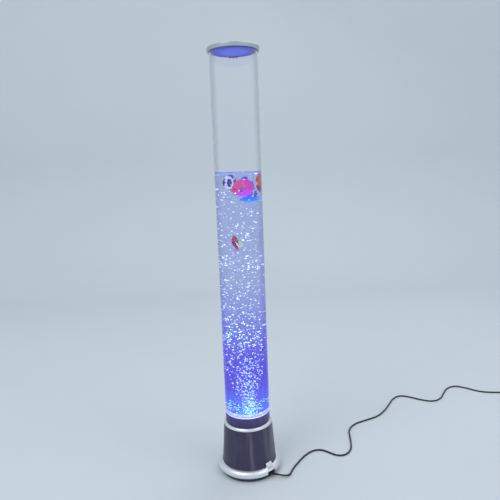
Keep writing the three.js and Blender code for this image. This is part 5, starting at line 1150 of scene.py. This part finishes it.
def make_feet():
    """Four rubber feet from one turned shape, placed by a node tree on a square."""
    inputs = {"Circle Radius": "Float", "Count": "Int", "Foot": "Object", "Finish": "Material"}
    nodes, given, result = new_group("Rubber Feet", GEOMETRY_TREE, inputs, {"Mesh": "Geometry"})
    round_line = {"Vertices": given["Count"], "Radius": given["Circle Radius"]}
    circle = nodes.add("GeometryNodeMeshCircle", round_line)[0]
    square = nodes.add("GeometryNodeTransform", {"Geometry": circle, "Rotation": (0.0, 0.0, math.pi / 4)})[0]
    foot = nodes.add("GeometryNodeObjectInfo", {"Object": given["Foot"]})["Geometry"]
    placed = nodes.add("GeometryNodeInstanceOnPoints", {"Points": square, "Instance": foot})[0]
    end_tree(nodes, result, placed, given["Finish"])
    radius, height, hollow = 7 * MM, 2.4 * MM, 0.25 * MM
    outline = [(0.0, hollow), (radius * 0.45, hollow), (radius * 0.5, 0.0)]
    outline += corner(radius, 0.0, 0.5 * MM, -90, 4) + corner(radius, height, 0.3 * MM, 0) + [(0.0, height)]
    pattern = smooth(new_object("foot_pattern", turned_mesh(outline, SMALL_SIDES)))
    spread = middle("rubber_foot_1").to_2d().length
    values = {"Circle Radius": spread, "Count": 4, "Foot": pattern, "Finish": MATERIALS["rubber"]}
    piece = grown_piece("rubber_feet", nodes.tree, values)
    bpy.data.objects.remove(pattern)
    dress(piece, ["rubber"], "lamp", "foot_rubber", *[f"rubber_foot_{number}" for number in range(1, 5)])


class LAMP_OT_base(bpy.types.Operator):
    """Makes the shell, the foot ring, the base plate and the rubber feet"""

    bl_idname = "lamp.base"
    bl_label = "Base"

    def execute(self, context):
        make_shell()
        make_foot_ring()
        make_plate()
        make_feet()
        return {"FINISHED"}


class LAMP_OT_switch(bpy.types.Operator):
    """Makes the switch's outside ring, its button and the spring behind it, at the back of the shell"""

    bl_idname = "lamp.switch"
    bl_label = "Switch"

    def execute(self, context):
        centre = middle("power_button")
        place = shift(0.0, 0.0, centre.z) @ TO_BACK
        near, far = low("switch_ring").y, high("switch_ring").y
        inner, outer, edge = 6.2 * MM, 9 * MM, 0.7 * MM
        outline = [(inner, near), (outer, near)] + corner(outer, far, edge, 0, 5) + [(inner, far)]
        ring = new_object("switch_ring_finish", moved(turned_mesh(outline, 64), place))
        dress(smooth(ring), ["bright"], "lamp", "bright_metal", "switch_ring")
        near, far = low("power_button").y, high("power_button").y
        radius, dome = 3.9 * MM, 0.9 * MM
        outline = [(0.0, near), (radius, near)]
        outline += arc(0.0, far - dome, radius, dome, 0, 90, 10)[:-1] + [(0.0, far)]
        button = new_object("button", moved(turned_mesh(outline, 64), place))
        dress(smooth(button, 50), ["black_plastic"], "button", "black_plastic", "power_button")
        seat, crown = [(0.0, side("button_spring").y, centre.z) for side in (low, high)]
        make_elastic("button_spring", "bright")
        return {"FINISHED"}


class LAMP_OT_bellows(bpy.types.Operator):
    """Makes the pump's rubber bellows from the frame's copy"""

    bl_idname = "lamp.bellows"
    bl_label = "Pump Bellows"

    def execute(self, context):
        centre = middle("bellows")
        mouth, closed_end = [(centre.x, side("bellows").y, centre.z) for side in (high, low)]
        make_elastic("bellows", "rubber")
        return {"FINISHED"}


# The tube, its water and the cap


def make_tube():
    outline = rounded_section(tube_bore(), TUBE_RADIUS, TUBE_BOTTOM, TUBE_TOP, 0.35 * MM)
    piece = new_object("clear_tube", turned_mesh(outline, 192))
    dress(smooth(piece, 50), ["tube"], "lamp", "clear_acrylic", "tube")


def make_disc():
    """Perforated disc whose holes let the air through as bubbles."""
    bottom, top, radius = low("bubble_disc").z, high("bubble_disc").z, high("bubble_disc").x
    lip = radius - 3 * MM
    underside = bottom + 2.6 * MM
    outline = [(0.0, underside), (lip, underside), (lip, bottom), (radius, bottom)]
    outline += corner(radius, top, 0.4 * MM, 0) + [(0.0, top)]
    piece = new_object("bubble_disc_finish", turned_mesh(outline))
    holes = []
    for ring, count in enumerate((6, 11, 16)):
        reach = 12 * MM * (ring + 1)
        for i in range(count):
            angle = ring + i * 2 * math.pi / count
            place = shift(reach * math.cos(angle), reach * math.sin(angle), underside - MM)
            holes.append(rod_mesh(1.1, 0, 5, 16, place))
    combine(piece, "DIFFERENCE", joined_mesh(holes))
    dress(smooth(piece), ["lit_disc"], "lamp", "white_plastic", "bubble_disc")


def make_water():
    """The water, a little into the tube's wall so that no air shows between them."""
    radius = tube_bore() + 0.1 * MM
    bottom, top = DISC_TOP + 0.2 * MM, sizes().water_line
    rise, climb = 1.6 * MM, 5 * MM
    outline = [(0.0, bottom), (radius, bottom)]
    outline += [(radius - climb * i / 8, top + rise * (1 - i / 8) ** 2.4) for i in range(9)]
    outline += [((radius - climb) * (1 - i / 10), top) for i in range(1, 11)]
    piece = new_object("water", turned_mesh(outline, 192))
    for vert in piece.data.vertices:
        reach = math.hypot(vert.co.x, vert.co.y) / radius
        if vert.co.z > top - MM and reach < 0.999:
            swell = noise.noise(Vector((vert.co.x, vert.co.y, 0.0)) * 70.0)
            vert.co.z += rise * swell * min(1.0, (1.0 - reach) * 8)
    dress(smooth(piece, 50), ["water"], "lamp", "clear_acrylic")


def make_cap():
    """Cap with a rounded edge, a plug inside the tube, and vent slots at its back edge."""
    radius, bottom, top = high("top_cap").x, low("top_cap").z, high("top_cap").z
    plug, rim_bore = tube_bore() - 0.4 * MM, TUBE_RADIUS + 0.4 * MM
    seat = TUBE_TOP + 0.3 * MM
    rim_bottom = seat - 3.6 * MM
    edge, low_edge = 1.6 * MM, 0.5 * MM
    outline = [(0.0, bottom), (plug - 2 * MM, bottom)] + corner(plug, bottom, low_edge, -90)
    outline += [(plug, seat), (rim_bore, seat), (rim_bore, rim_bottom)]
    outline += corner(radius, rim_bottom, low_edge, -90) + corner(radius, top, edge, 0, 8)
    outline += [(radius - 6 * MM, top), (0.0, top)]
    piece = new_object("cap", turned_mesh(outline, FINE_SIDES))
    slot_places = [i * 6.4 * MM for i in (-1, 0, 1)]
    half, length, wall, back = 1.3 * MM, 8 * MM, 0.5 * MM, plug - 0.8 * MM
    slot_bottom, slot_top = 0.9, 0.94
    for x in slot_places:
        lowest = (x - half - wall, back - length - wall, bottom - 1.6 * MM)
        collar = box_mesh(lowest, (x + half + wall, back + wall, bottom + MM))
        combine(piece, "UNION", collar)
        slot = box_mesh((x - half, back - length, slot_bottom), (x + half, back, slot_top))
        combine(piece, "DIFFERENCE", slot)

    def finish_number(face):
        """0 outside, 1 under the cap where the light falls, and 2 in the slots and on their collars, whose
        black finish is painted shade.
        """
        spot = face.center
        aside = min(abs(spot.x - x) for x in slot_places)
        beside = aside < half + 0.05 * MM and back - length - 0.1 * MM < spot.y < back + 0.1 * MM
        if (beside and abs(face.normal.z) < 0.5) or spot.z < bottom - 0.1 * MM:
            return 2
        return math.hypot(spot.x, spot.y) < plug + 0.1 * MM and spot.z < seat + 0.1 * MM

    finishes = ["cap", "cap_underside", "black_plastic"]
    dress(smooth(piece, 40), finishes, "cap", "satin_silver", "top_cap", number_of=finish_number)


class LAMP_OT_tube(bpy.types.Operator):
    """Makes the clear tube, the perforated disc, the water and the cap"""

    bl_idname = "lamp.tube"
    bl_label = "Tube, Water and Cap"

    def execute(self, context):
        make_tube()
        make_disc()
        make_water()
        make_cap()
        return {"FINISHED"}


# Bubbles

BUBBLE_INPUTS = {
    "Count": "Int",
    **dict.fromkeys(("Bottom", "Top", "Radius", "Crowding", "Smallest", "Largest"), "Float"),
    "Seed": "Int",
    **dict.fromkeys(("Lowest Share", "Spread Height", "Path Gap"), "Float"),
    "Fish Paths": "Object",
    "Finish": "Material",
}


def make_bubble_tree():
    """Bubbles at seeded places in a round column, kept clear of the fishes' paths."""
    nodes, given, result = new_group("Rising Bubbles", GEOMETRY_TREE, BUBBLE_INPUTS, {"Mesh": "Geometry"})

    def draw(offset, highest=1.0):
        """A random value for each bubble, from 0 to the highest."""
        seed = nodes.plus(given["Seed"], float(offset))
        return nodes.add("FunctionNodeRandomValue", {2: 0.0, 3: highest, 8: seed}, data_type="FLOAT")[1]

    angle = draw(1, 2 * math.pi)
    reach = nodes.maths("SQRT", draw(2))
    share = nodes.maths("POWER", draw(3), given["Crowding"])
    rise = nodes.times(share, nodes.minus(given["Top"], given["Bottom"]))
    widening = nodes.maths("DIVIDE", rise, given["Spread Height"], clamp=True)
    gain = nodes.times(widening, nodes.minus(1.0, given["Lowest Share"]))
    width = nodes.times(given["Radius"], nodes.plus(given["Lowest Share"], gain))
    radius = nodes.times(reach, width)
    x, y = [nodes.times(radius, nodes.maths(operation, angle)) for operation in ("COSINE", "SINE")]
    place = nodes.vector(x, y, nodes.plus(given["Bottom"], rise))
    points = nodes.add("GeometryNodePoints", {"Count": given["Count"], "Position": place})[0]
    paths = nodes.add("GeometryNodeObjectInfo", {"Object": given["Fish Paths"]})["Geometry"]
    near = nodes.add("GeometryNodeProximity", {0: paths}, target_element="FACES")["Distance"]
    sides = {0: near, 1: given["Path Gap"]}
    inside = nodes.add("FunctionNodeCompare", sides, data_type="FLOAT", operation="LESS_THAN")[0]
    kept = nodes.add("GeometryNodeDeleteGeometry", {0: points, 1: inside}, domain="POINT")[0]
    ball = nodes.add("GeometryNodeMeshIcoSphere", {"Radius": 1.0, "Subdivisions": 2})["Mesh"]
    soft = nodes.add("GeometryNodeSetShadeSmooth", {0: ball, "Shade Smooth": True})[0]
    size_share = nodes.maths("POWER", draw(4), 1.5)
    span = nodes.minus(given["Largest"], given["Smallest"])
    size = nodes.plus(given["Smallest"], nodes.times(size_share, span))
    scale = nodes.vector(size, size, nodes.times(size, 0.84))
    placed = nodes.add("GeometryNodeInstanceOnPoints", {"Points": kept, "Instance": soft, "Scale": scale})[0]
    named = {"Geometry": placed, "Name": "spark", 3: draw(5)}
    marked = nodes.add("GeometryNodeStoreNamedAttribute", named, data_type="FLOAT", domain="INSTANCE")[0]
    end_tree(nodes, result, marked, given["Finish"])
    return nodes.tree


def fish_paths():
    """One upright sheet through each fish, over the whole height of the water."""
    made = bmesh.new()
    lowest, highest = 0.13, 0.70
    for facts in FISH.values():
        half = FISH_LENGTH * facts["size"][0] * (0.2 if facts["pitch"] > 45 else 0.5)
        place = fish_place(facts).to_2d().to_3d()
        ahead = turn(math.radians(facts["heading"])) @ Vector((half, 0.0, 0.0))
        ends = ((-1, lowest), (1, lowest), (1, highest), (-1, highest))
        made.faces.new([made.verts.new(place + ahead * side + Vector((0.0, 0.0, z))) for side, z in ends])
    return new_object("fish_paths", finished_mesh(made, outwards=False))


class LAMP_OT_bubbles(bpy.types.Operator):
    """Fills the water with bubbles, crowded near the disc, and a bright plume in the middle"""

    bl_idname = "lamp.bubbles"
    bl_label = "Bubbles"

    def execute(self, context):
        tree = make_bubble_tree()
        paths = fish_paths()
        radius = tube_bore() - 2.2 * MM
        bottom = DISC_TOP + 2 * MM
        top = sizes().water_line - 3 * MM
        third = (top - bottom) / 3
        path_gap, plume_height, plume_radius, bed_height = 6.2 * MM, 120 * MM, 14 * MM, 8 * MM
        small, large, count = sizes().bubble_smallest, sizes().bubble_largest, sizes().bubble_count
        medium = large * 0.5
        flared, straight = (0.24, 0.125), (1.0, 1.0)
        # Share of the count, start and end above the bottom, radius, crowding, smallest and largest
        # bubble, seed, and how the column widens
        zones = {
            "bubbles_low": (0.36, 0.0, third, radius, 0.95, medium, large, 11, *flared),
            "bubbles_middle": (0.30, third * 0.85, 2 * third, radius, 1.2, medium, large, 23, *straight),
            "bubbles_high": (0.16, 1.8 * third, top - bottom, radius, 1.2, medium, large, 37, *straight),
            "bubbles_fine": (0.6, 0.0, top - bottom, radius, 1.3, small, large * 0.45, 43, *flared),
            "bubble_plume": (0.14, 0.0, plume_height, plume_radius, 1.5, medium, large, 51, *straight),
            "bubble_bed": (0.13, 0.0, bed_height, radius, 1.0, large * 0.4, large * 0.8, 67, *straight),
        }
        for name, (share, start, end, *zone) in zones.items():
            ends = (bottom + start, bottom + end)
            values = (int(count * share), *ends, *zone, path_gap, paths, MATERIALS["bubbles"])
            piece = grown_piece(name, tree, dict(zip(BUBBLE_INPUTS, values)))
            dress(piece, ["bubbles"], "lamp", "clear_acrylic")
        bpy.data.objects.remove(paths)
        return {"FINISHED"}


# Fish

FISH_LENGTH = 36 * MM
FISH_THICKNESS = 8 * MM
FISH_MIDDLE = 0.42
WATER_DEPTH = 533.7 * MM
BODY_POINTS = 28
BODY_RINGS = 30
FIN_ALONG = 26
FIN_OUT = 7

# Rings of a body: place along, middle, half height and whole width, as shares of length, height and thickness
ROUND_RINGS = [
    (0.00, 0.00, 0.03, 0.10), (0.08, 0.01, 0.14, 0.45), (0.22, 0.02, 0.31, 0.85), (0.40, 0.01, 0.41, 1.00),
    (0.58, 0.00, 0.39, 0.85), (0.72, 0.00, 0.23, 0.50), (0.80, 0.00, 0.10, 0.22),
]
DISC_RINGS = [
    (0.00, 0.00, 0.03, 0.10), (0.07, 0.00, 0.14, 0.45), (0.20, 0.00, 0.28, 0.85), (0.38, 0.01, 0.38, 1.00),
    (0.58, 0.01, 0.41, 0.95), (0.74, 0.00, 0.38, 0.75), (0.86, 0.00, 0.28, 0.45), (0.93, 0.00, 0.16, 0.20),
]
LONG_RINGS = [
    (0.00, 0.00, 0.05, 0.12), (0.10, 0.02, 0.20, 0.60), (0.28, 0.02, 0.34, 1.00), (0.50, 0.00, 0.32, 0.90),
    (0.70, 0.00, 0.18, 0.55), (0.82, 0.00, 0.08, 0.22),
]
# Tail, back fin and belly fin: the line where each leaves the body and the line of its rim, as shares
# of length and height
ROUND_FINS = [
    ([(0.77, -0.09), (0.78, 0.0), (0.77, 0.09)], [(0.98, -0.26), (0.94, 0.0), (0.98, 0.26)]),
    ([(0.20, 0.22), (0.45, 0.36), (0.72, 0.18)], [(0.36, 0.42), (0.60, 0.50), (0.82, 0.42)]),
    ([(0.26, -0.26), (0.48, -0.36), (0.70, -0.20)], [(0.42, -0.42), (0.60, -0.50), (0.80, -0.42)]),
]
DISC_FINS = [
    ([(0.86, -0.14), (0.88, 0.0), (0.86, 0.14)], [(0.985, -0.22), (0.98, 0.0), (0.985, 0.22)]),
    ([(0.42, 0.32), (0.60, 0.38), (0.76, 0.28)], [(0.60, 0.49), (0.72, 0.50), (0.82, 0.50)]),
    ([(0.50, -0.32), (0.68, -0.36), (0.84, -0.24)], [(0.62, -0.45), (0.74, -0.46), (0.85, -0.40)]),
]
LONG_TAIL = ([(0.80, -0.06), (0.81, 0.0), (0.80, 0.06)], [(0.99, -0.49), (0.92, 0.0), (0.99, 0.49)])
LONG_BELLY_FIN = (
    [(0.40, -0.22), (0.50, -0.28), (0.62, -0.14)],
    [(0.48, -0.40), (0.54, -0.41), (0.63, -0.35)],
)
TALL_BACK_FIN = ([(0.58, 0.14), (0.69, 0.10), (0.80, 0.05)], [(0.66, 0.84), (0.70, 0.90), (0.735, 0.89)])
BROAD_BACK_FIN = ([(0.30, 0.20), (0.55, 0.20), (0.78, 0.06)], [(0.42, 0.54), (0.58, 0.71), (0.75, 0.65)])
SIDE_FIN = ([(0.33, 0.01), (0.34, -0.03), (0.34, -0.07)], [(0.44, 0.04), (0.47, -0.06), (0.42, -0.13)])

# Eyes: place along and up as shares, and radius in millimetres
ROUND_EYE = (0.13, 0.035, 1.75)
DISC_EYE = (0.17, 0.03, 1.75)
LONG_EYE = (0.12, 0.07, 1.45)

# Each fish: its form, its size as shares, its place across, back and down as shares of bore and depth,
# its turns in degrees, and its paint in the order of the paint's inputs, with the unused ones left out
FISH = {
    "striped": {
        "form": (ROUND_RINGS, ROUND_FINS, ROUND_EYE, "eye_black"),
        "size": (0.94, 0.94, 1.0),
        "place": (-0.32, -0.085, 0.0393),
        "heading": 40,
        "pitch": 0,
        "slot": "striped_blue",
        "paint": (
            (0.008, 0.018, 0.14), (0.008, 0.018, 0.14), (0.01, 0.025, 0.20), (0.008, 0.02, 0.20),
            (0.008, 0.02, 0.20), (0.75, 0.85, 1.0), (0.50, -0.10, 0.0), 0.045,
            (0.70, 0.80, 0.98), 3.0, 1.0, math.pi, 1.0,
        ),
    },
    "pink": {
        "form": (DISC_RINGS, DISC_FINS, DISC_EYE, "eye_red"),
        "size": (1.25, 1.22, 1.12),
        "place": (0.165, -0.51, 0.06),
        "heading": 6,
        "pitch": -12,
        "slot": "pink",
        "paint": (
            (0.88, 0.08, 0.28), (0.80, 0.05, 0.50), (0.82, 0.07, 1.0), (0.12, 0.01, 0.62),
            (0.0, 0.0, 0.64), (0.22, 0.01, 0.62), (0.40, -0.10, 0.0), 0.08,
        ),
    },
    "azure": {
        "form": (LONG_RINGS, [LONG_TAIL, TALL_BACK_FIN, LONG_BELLY_FIN], LONG_EYE, "eye_white"),
        "size": (0.86, 0.54, 0.88),
        "place": (0.36, 0.49, 0.1087),
        "heading": 0,
        "pitch": 0,
        "slot": "azure",
        "paint": (
            (0.015, 0.22, 0.98), (0.03, 0.32, 1.0), (0.07, 0.58, 1.0), (0.16, 0.60, 1.0),
            (0.0, 0.0, 0.42),
        ),
    },
    "orange": {
        "form": (ROUND_RINGS, ROUND_FINS, ROUND_EYE, "eye_white"),
        "size": (1.0, 1.14, 1.0),
        "place": (0.734, 0.01, 0.0431),
        "heading": 84,
        "pitch": 0,
        "slot": "orange",
        "paint": (
            (0.70, 0.13, 0.05), (1.0, 0.34, 0.06), (0.26, 0.01, 0.06), (0.40, 0.03, 0.10),
            (0.32, 0.03, 0.16), (0.90, 0.46, 0.16), (0.05, -0.02, 0.0), 0.10,
            (0.30, 0.03, 0.04), 2.6, 0.5,
        ),
    },
    "crimson": {
        "form": (LONG_RINGS, [LONG_TAIL, BROAD_BACK_FIN, LONG_BELLY_FIN], LONG_EYE, "eye_white"),
        "size": (1.02, 0.36, 0.88),
        "place": (-0.149, 0.68, 0.288),
        "heading": 8,
        "pitch": 82,
        "slot": "crimson",
        "paint": (
            (0.48, 0.01, 0.05), (0.46, 0.01, 0.14), (0.50, 0.02, 0.12), (0.62, 0.03, 0.22),
            (0.50, 0.84, 0.38), (0.95, 0.82, 0.90), (0.50, 0.10, 0.0), 0.09,
            (0.06, 0.005, 0.04), 1.6, 0.85, 2.83,
        ),
    },
}


def fish_place(facts):
    """Middle of a fish at rest."""
    across, back, depth = facts["place"]
    return Vector((tube_bore() * across, tube_bore() * back, sizes().water_line - WATER_DEPTH * depth))


def spline_value(rows, place, column):
    """A smooth value through the rows at a place along them."""
    i = max(j for j in range(len(rows)) if rows[j][0] <= place + 1e-9)
    i = min(i, len(rows) - 2)
    gap = rows[i + 1][0] - rows[i][0]
    share = (place - rows[i][0]) / gap

    def slope(j):
        before, after = rows[max(j - 1, 0)], rows[min(j + 1, len(rows) - 1)]
        return (after[column] - before[column]) / (after[0] - before[0])

    squared, cubed = share**2, share**3
    start = rows[i][column] * (2 * cubed - 3 * squared + 1) + slope(i) * gap * (cubed - 2 * squared + share)
    return start + rows[i + 1][column] * (3 * squared - 2 * cubed) + slope(i + 1) * gap * (cubed - squared)


def curve_through(points, share):
    """A point on the parabola through three points."""
    a, b, c = [Vector(p) for p in points]
    return a * (1 - share) * (1 - 2 * share) + b * 4 * share * (1 - share) + c * share * (2 * share - 1)


class FishShape:
    """A fish being made, with each point's place on the fish as an attribute."""

    def __init__(self, size, rings):
        self.made = bmesh.new()
        self.layer = self.made.verts.layers.float_vector.new("fish_place")
        self.length = FISH_LENGTH * size[0]
        self.height = FISH_LENGTH * size[1]
        self.half = FISH_THICKNESS * size[2] / 2
        self.rings = rings

    def point(self, along, up, side, fin=0.0):
        """A point from its shares of the length and height, and its distance to the side."""
        vert = self.made.verts.new((along * self.length, side, up * self.height))
        vert[self.layer] = Vector((along, up, fin))
        return vert

    def half_width(self, along):
        return spline_value(self.rings, along, 3) * self.half

    def add_body(self):
        """Rings of points from the nose to the tail's root, closed at both ends."""
        nose_crowding, squareness = 1.25, 0.85
        gill_place, gill_bow, gill_width, gill_depth = 0.27, 0.25, 0.012, 0.06
        skin = []
        for ring in range(BODY_RINGS + 1):
            place = self.rings[-1][0] * (ring / BODY_RINGS) ** nose_crowding
            centre, tall, width = [spline_value(self.rings, place, column) for column in (1, 2, 3)]
            points = []
            for i in range(BODY_POINTS):
                angle = 2 * math.pi * i / BODY_POINTS
                side = math.copysign(abs(math.cos(angle)) ** squareness, math.cos(angle))
                up = centre + tall * math.sin(angle)
                from_gill = (place - gill_place - gill_bow * up * up) / gill_width
                gill = gill_depth * math.exp(-(from_gill**2)) * abs(side)
                points.append(self.point(place, up, self.half * (width - gill) * side))
            skin.append(points)
        add_skin(self.made, skin)
        self.made.faces.new(skin[0][::-1])
        self.made.faces.new(skin[-1])

    def add_fin(self, root, rim, bend=0.0, side=0.0, mark=1.0):
        """A thin fin between two lines, thickest at its root, with a scalloped rim and gentle folds."""
        scallops, scallop_depth, folds, fold_height = 5, 0.05, 10, 0.35 * MM
        root_thickness, rim_thinning, end_share = 0.62, 0.40, 0.25
        sheets = []
        for way in (-1, 1):
            rows = []
            for i in range(FIN_ALONG + 1):
                share = i / FIN_ALONG
                scallop = 1.0 - scallop_depth * (1 - abs(math.cos(share * math.pi * scallops)))
                taper = min(1.0, 6 * share + end_share, 6 * (1 - share) + end_share)
                row = []
                for j in range(FIN_OUT + 1):
                    out = j / FIN_OUT
                    spot = curve_through(root, share).lerp(curve_through(rim, share), out * scallop)
                    ripple = fold_height * math.sin(share * math.pi * folds) * out
                    thick = (root_thickness - rim_thinning * out) * MM * taper
                    offset = side + ripple + bend * out * out + way * thick
                    row.append(self.point(spot.x, spot.y, offset, mark * min(1.0, out * 2.5)))
                rows.append(row)
            sheets.append(rows)
            for first, second in zip(rows, rows[1:]):
                for j in range(FIN_OUT):
                    self.made.faces.new([first[j], second[j], second[j + 1], first[j + 1]])
        edge = [(0, j) for j in range(FIN_OUT)] + [(i, FIN_OUT) for i in range(FIN_ALONG)]
        edge += [(FIN_ALONG, j) for j in range(FIN_OUT, 0, -1)] + [(i, 0) for i in range(FIN_ALONG, 0, -1)]
        add_skin(self.made, [[rows[i][j] for i, j in edge] for rows in sheets])

    def add_ball(self, centre, radius, flat, number):
        """A ball flattened sideways, for an eye, with its material slot's number."""
        ball = bmesh.ops.create_uvsphere(self.made, u_segments=20, v_segments=12, radius=radius)
        for vert in ball["verts"]:
            vert.co = Vector((vert.co.x, vert.co.y * flat, vert.co.z)) + centre
            for face in vert.link_faces:
                face.material_index = number


def make_fish(key, facts):
    """One fish: body, fins, side fins and eyes."""
    rings, fins, (eye, eye_up, eye_radius), eye_finish = facts["form"]
    eye_radius *= MM
    eye_depth, eye_flatness, pupil_share, pupil_flatness = 0.93, 0.42, 0.58, 0.5
    shape = FishShape(facts["size"], rings)
    shape.add_body()
    for (root, rim), mark in zip(fins, (1.0, -1.0, 1.0)):
        shape.add_fin(root, rim, mark=mark)
    for side in (-1, 1):
        shape.add_fin(*SIDE_FIN, side * 0.4 * MM, side * (shape.half_width(0.36) - 0.3 * MM))
        outwards = side * shape.half_width(eye) * eye_depth
        centre = Vector((eye * shape.length, outwards, eye_up * shape.height))
        pupil = centre + Vector((-0.1 * MM, side * 0.42 * MM, 0.0))
        shape.add_ball(centre, eye_radius, eye_flatness, 1)
        shape.add_ball(pupil, eye_radius * pupil_share, pupil_flatness, 2)
    lean = turn(math.radians(facts["heading"])) @ turn(math.radians(facts["pitch"]), "Y")
    place = Matrix.Translation(fish_place(facts)) @ lean @ shift(-shape.length / 2, 0.0)
    piece = new_object(key + "_fish_finish", moved(finished_mesh(shape.made), place))
    finishes = [key + "_fish", eye_finish, "eye_black"]
    dress(smooth(piece, 55), finishes, key + "_swimmer", facts["slot"], key + "_fish")


class LAMP_OT_fish(bpy.types.Operator):
    """Makes the five plastic fish"""

    bl_idname = "lamp.fish"
    bl_label = "Fish"

    def execute(self, context):
        for key, facts in FISH.items():
            make_fish(key, facts)
        return {"FINISHED"}


# Inner pieces, which keep the frame's shape and get their finish

INNER_FINISHES = {
    "white_plastic": {"tube_floor", "air_nozzle", "nozzle_nut", "light_tray", "check_valve", "led"},
    "rubber": {"floor_seal"},
    "board": {"light_board", "control_board"},
    "black_plastic": {"switch_body"},
    "grey_plastic": {"pump_frame", "valve_chamber"},
    "iron": {"coil_core", "arm_magnet"},
    "copper": {"coil_winding"},
    "steel": {"swing_arm", "plate_screw", "tray_screw", "board_screw"},
    "silicone": {"air_hose", "air_hose_upper"},
    "cable": {"light_lead", "pump_lead", "supply_lead"},
}


class LAMP_OT_inside(bpy.types.Operator):
    """Gives the inner pieces and the fasteners their finishes"""

    bl_idname = "lamp.inside"
    bl_label = "Inner Pieces"

    def execute(self, context):
        for name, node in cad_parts.items():
            for finish, names in INNER_FINISHES.items():
                if name.rstrip("_0123456789") in names:
                    node.data.materials.clear()
                    node.data.materials.append(MATERIALS[finish])
        return {"FINISHED"}


class LAMP_PT_panel(bpy.types.Panel):
    """Lists the lamp's sizes, its colours and the steps that make it"""

    bl_label = "Bubble Fish Lamp"
    bl_idname = "LAMP_PT_panel"
    bl_space_type = "VIEW_3D"
    bl_region_type = "UI"
    bl_category = "Lamp"

    def draw(self, context):
        for group in (context.scene.lamp_sizes, context.scene.lamp_colours):
            for key in group.bl_rna.properties.keys():
                if key not in {"rna_type", "name"}:
                    self.layout.prop(group, key)
        for operator in OPERATORS:
            self.layout.operator(operator.bl_idname)


OPERATORS = (
    LAMP_OT_finishes,
    LAMP_OT_stage,
    LAMP_OT_lead,
    LAMP_OT_base,
    LAMP_OT_switch,
    LAMP_OT_bellows,
    LAMP_OT_tube,
    LAMP_OT_fish,
    LAMP_OT_bubbles,
    LAMP_OT_inside,
)
CLASSES = (LampSizes, LampColours, *OPERATORS, LAMP_PT_panel)


def register():
    for item in CLASSES:
        bpy.utils.register_class(item)
    bpy.types.Scene.lamp_sizes = bpy.props.PointerProperty(type=LampSizes)
    bpy.types.Scene.lamp_colours = bpy.props.PointerProperty(type=LampColours)


def unregister():
    del bpy.types.Scene.lamp_colours
    del bpy.types.Scene.lamp_sizes
    for item in reversed(CLASSES):
        bpy.utils.unregister_class(item)


def main():
    register()
    bpy.ops.lamp.finishes()
    bpy.ops.lamp.stage()
    bpy.ops.lamp.lead()
    bpy.ops.lamp.base()
    bpy.ops.lamp.switch()
    bpy.ops.lamp.bellows()
    bpy.ops.lamp.tube()
    bpy.ops.lamp.fish()
    bpy.ops.lamp.bubbles()
    bpy.ops.lamp.inside()


if __name__ == "__main__":
    main()
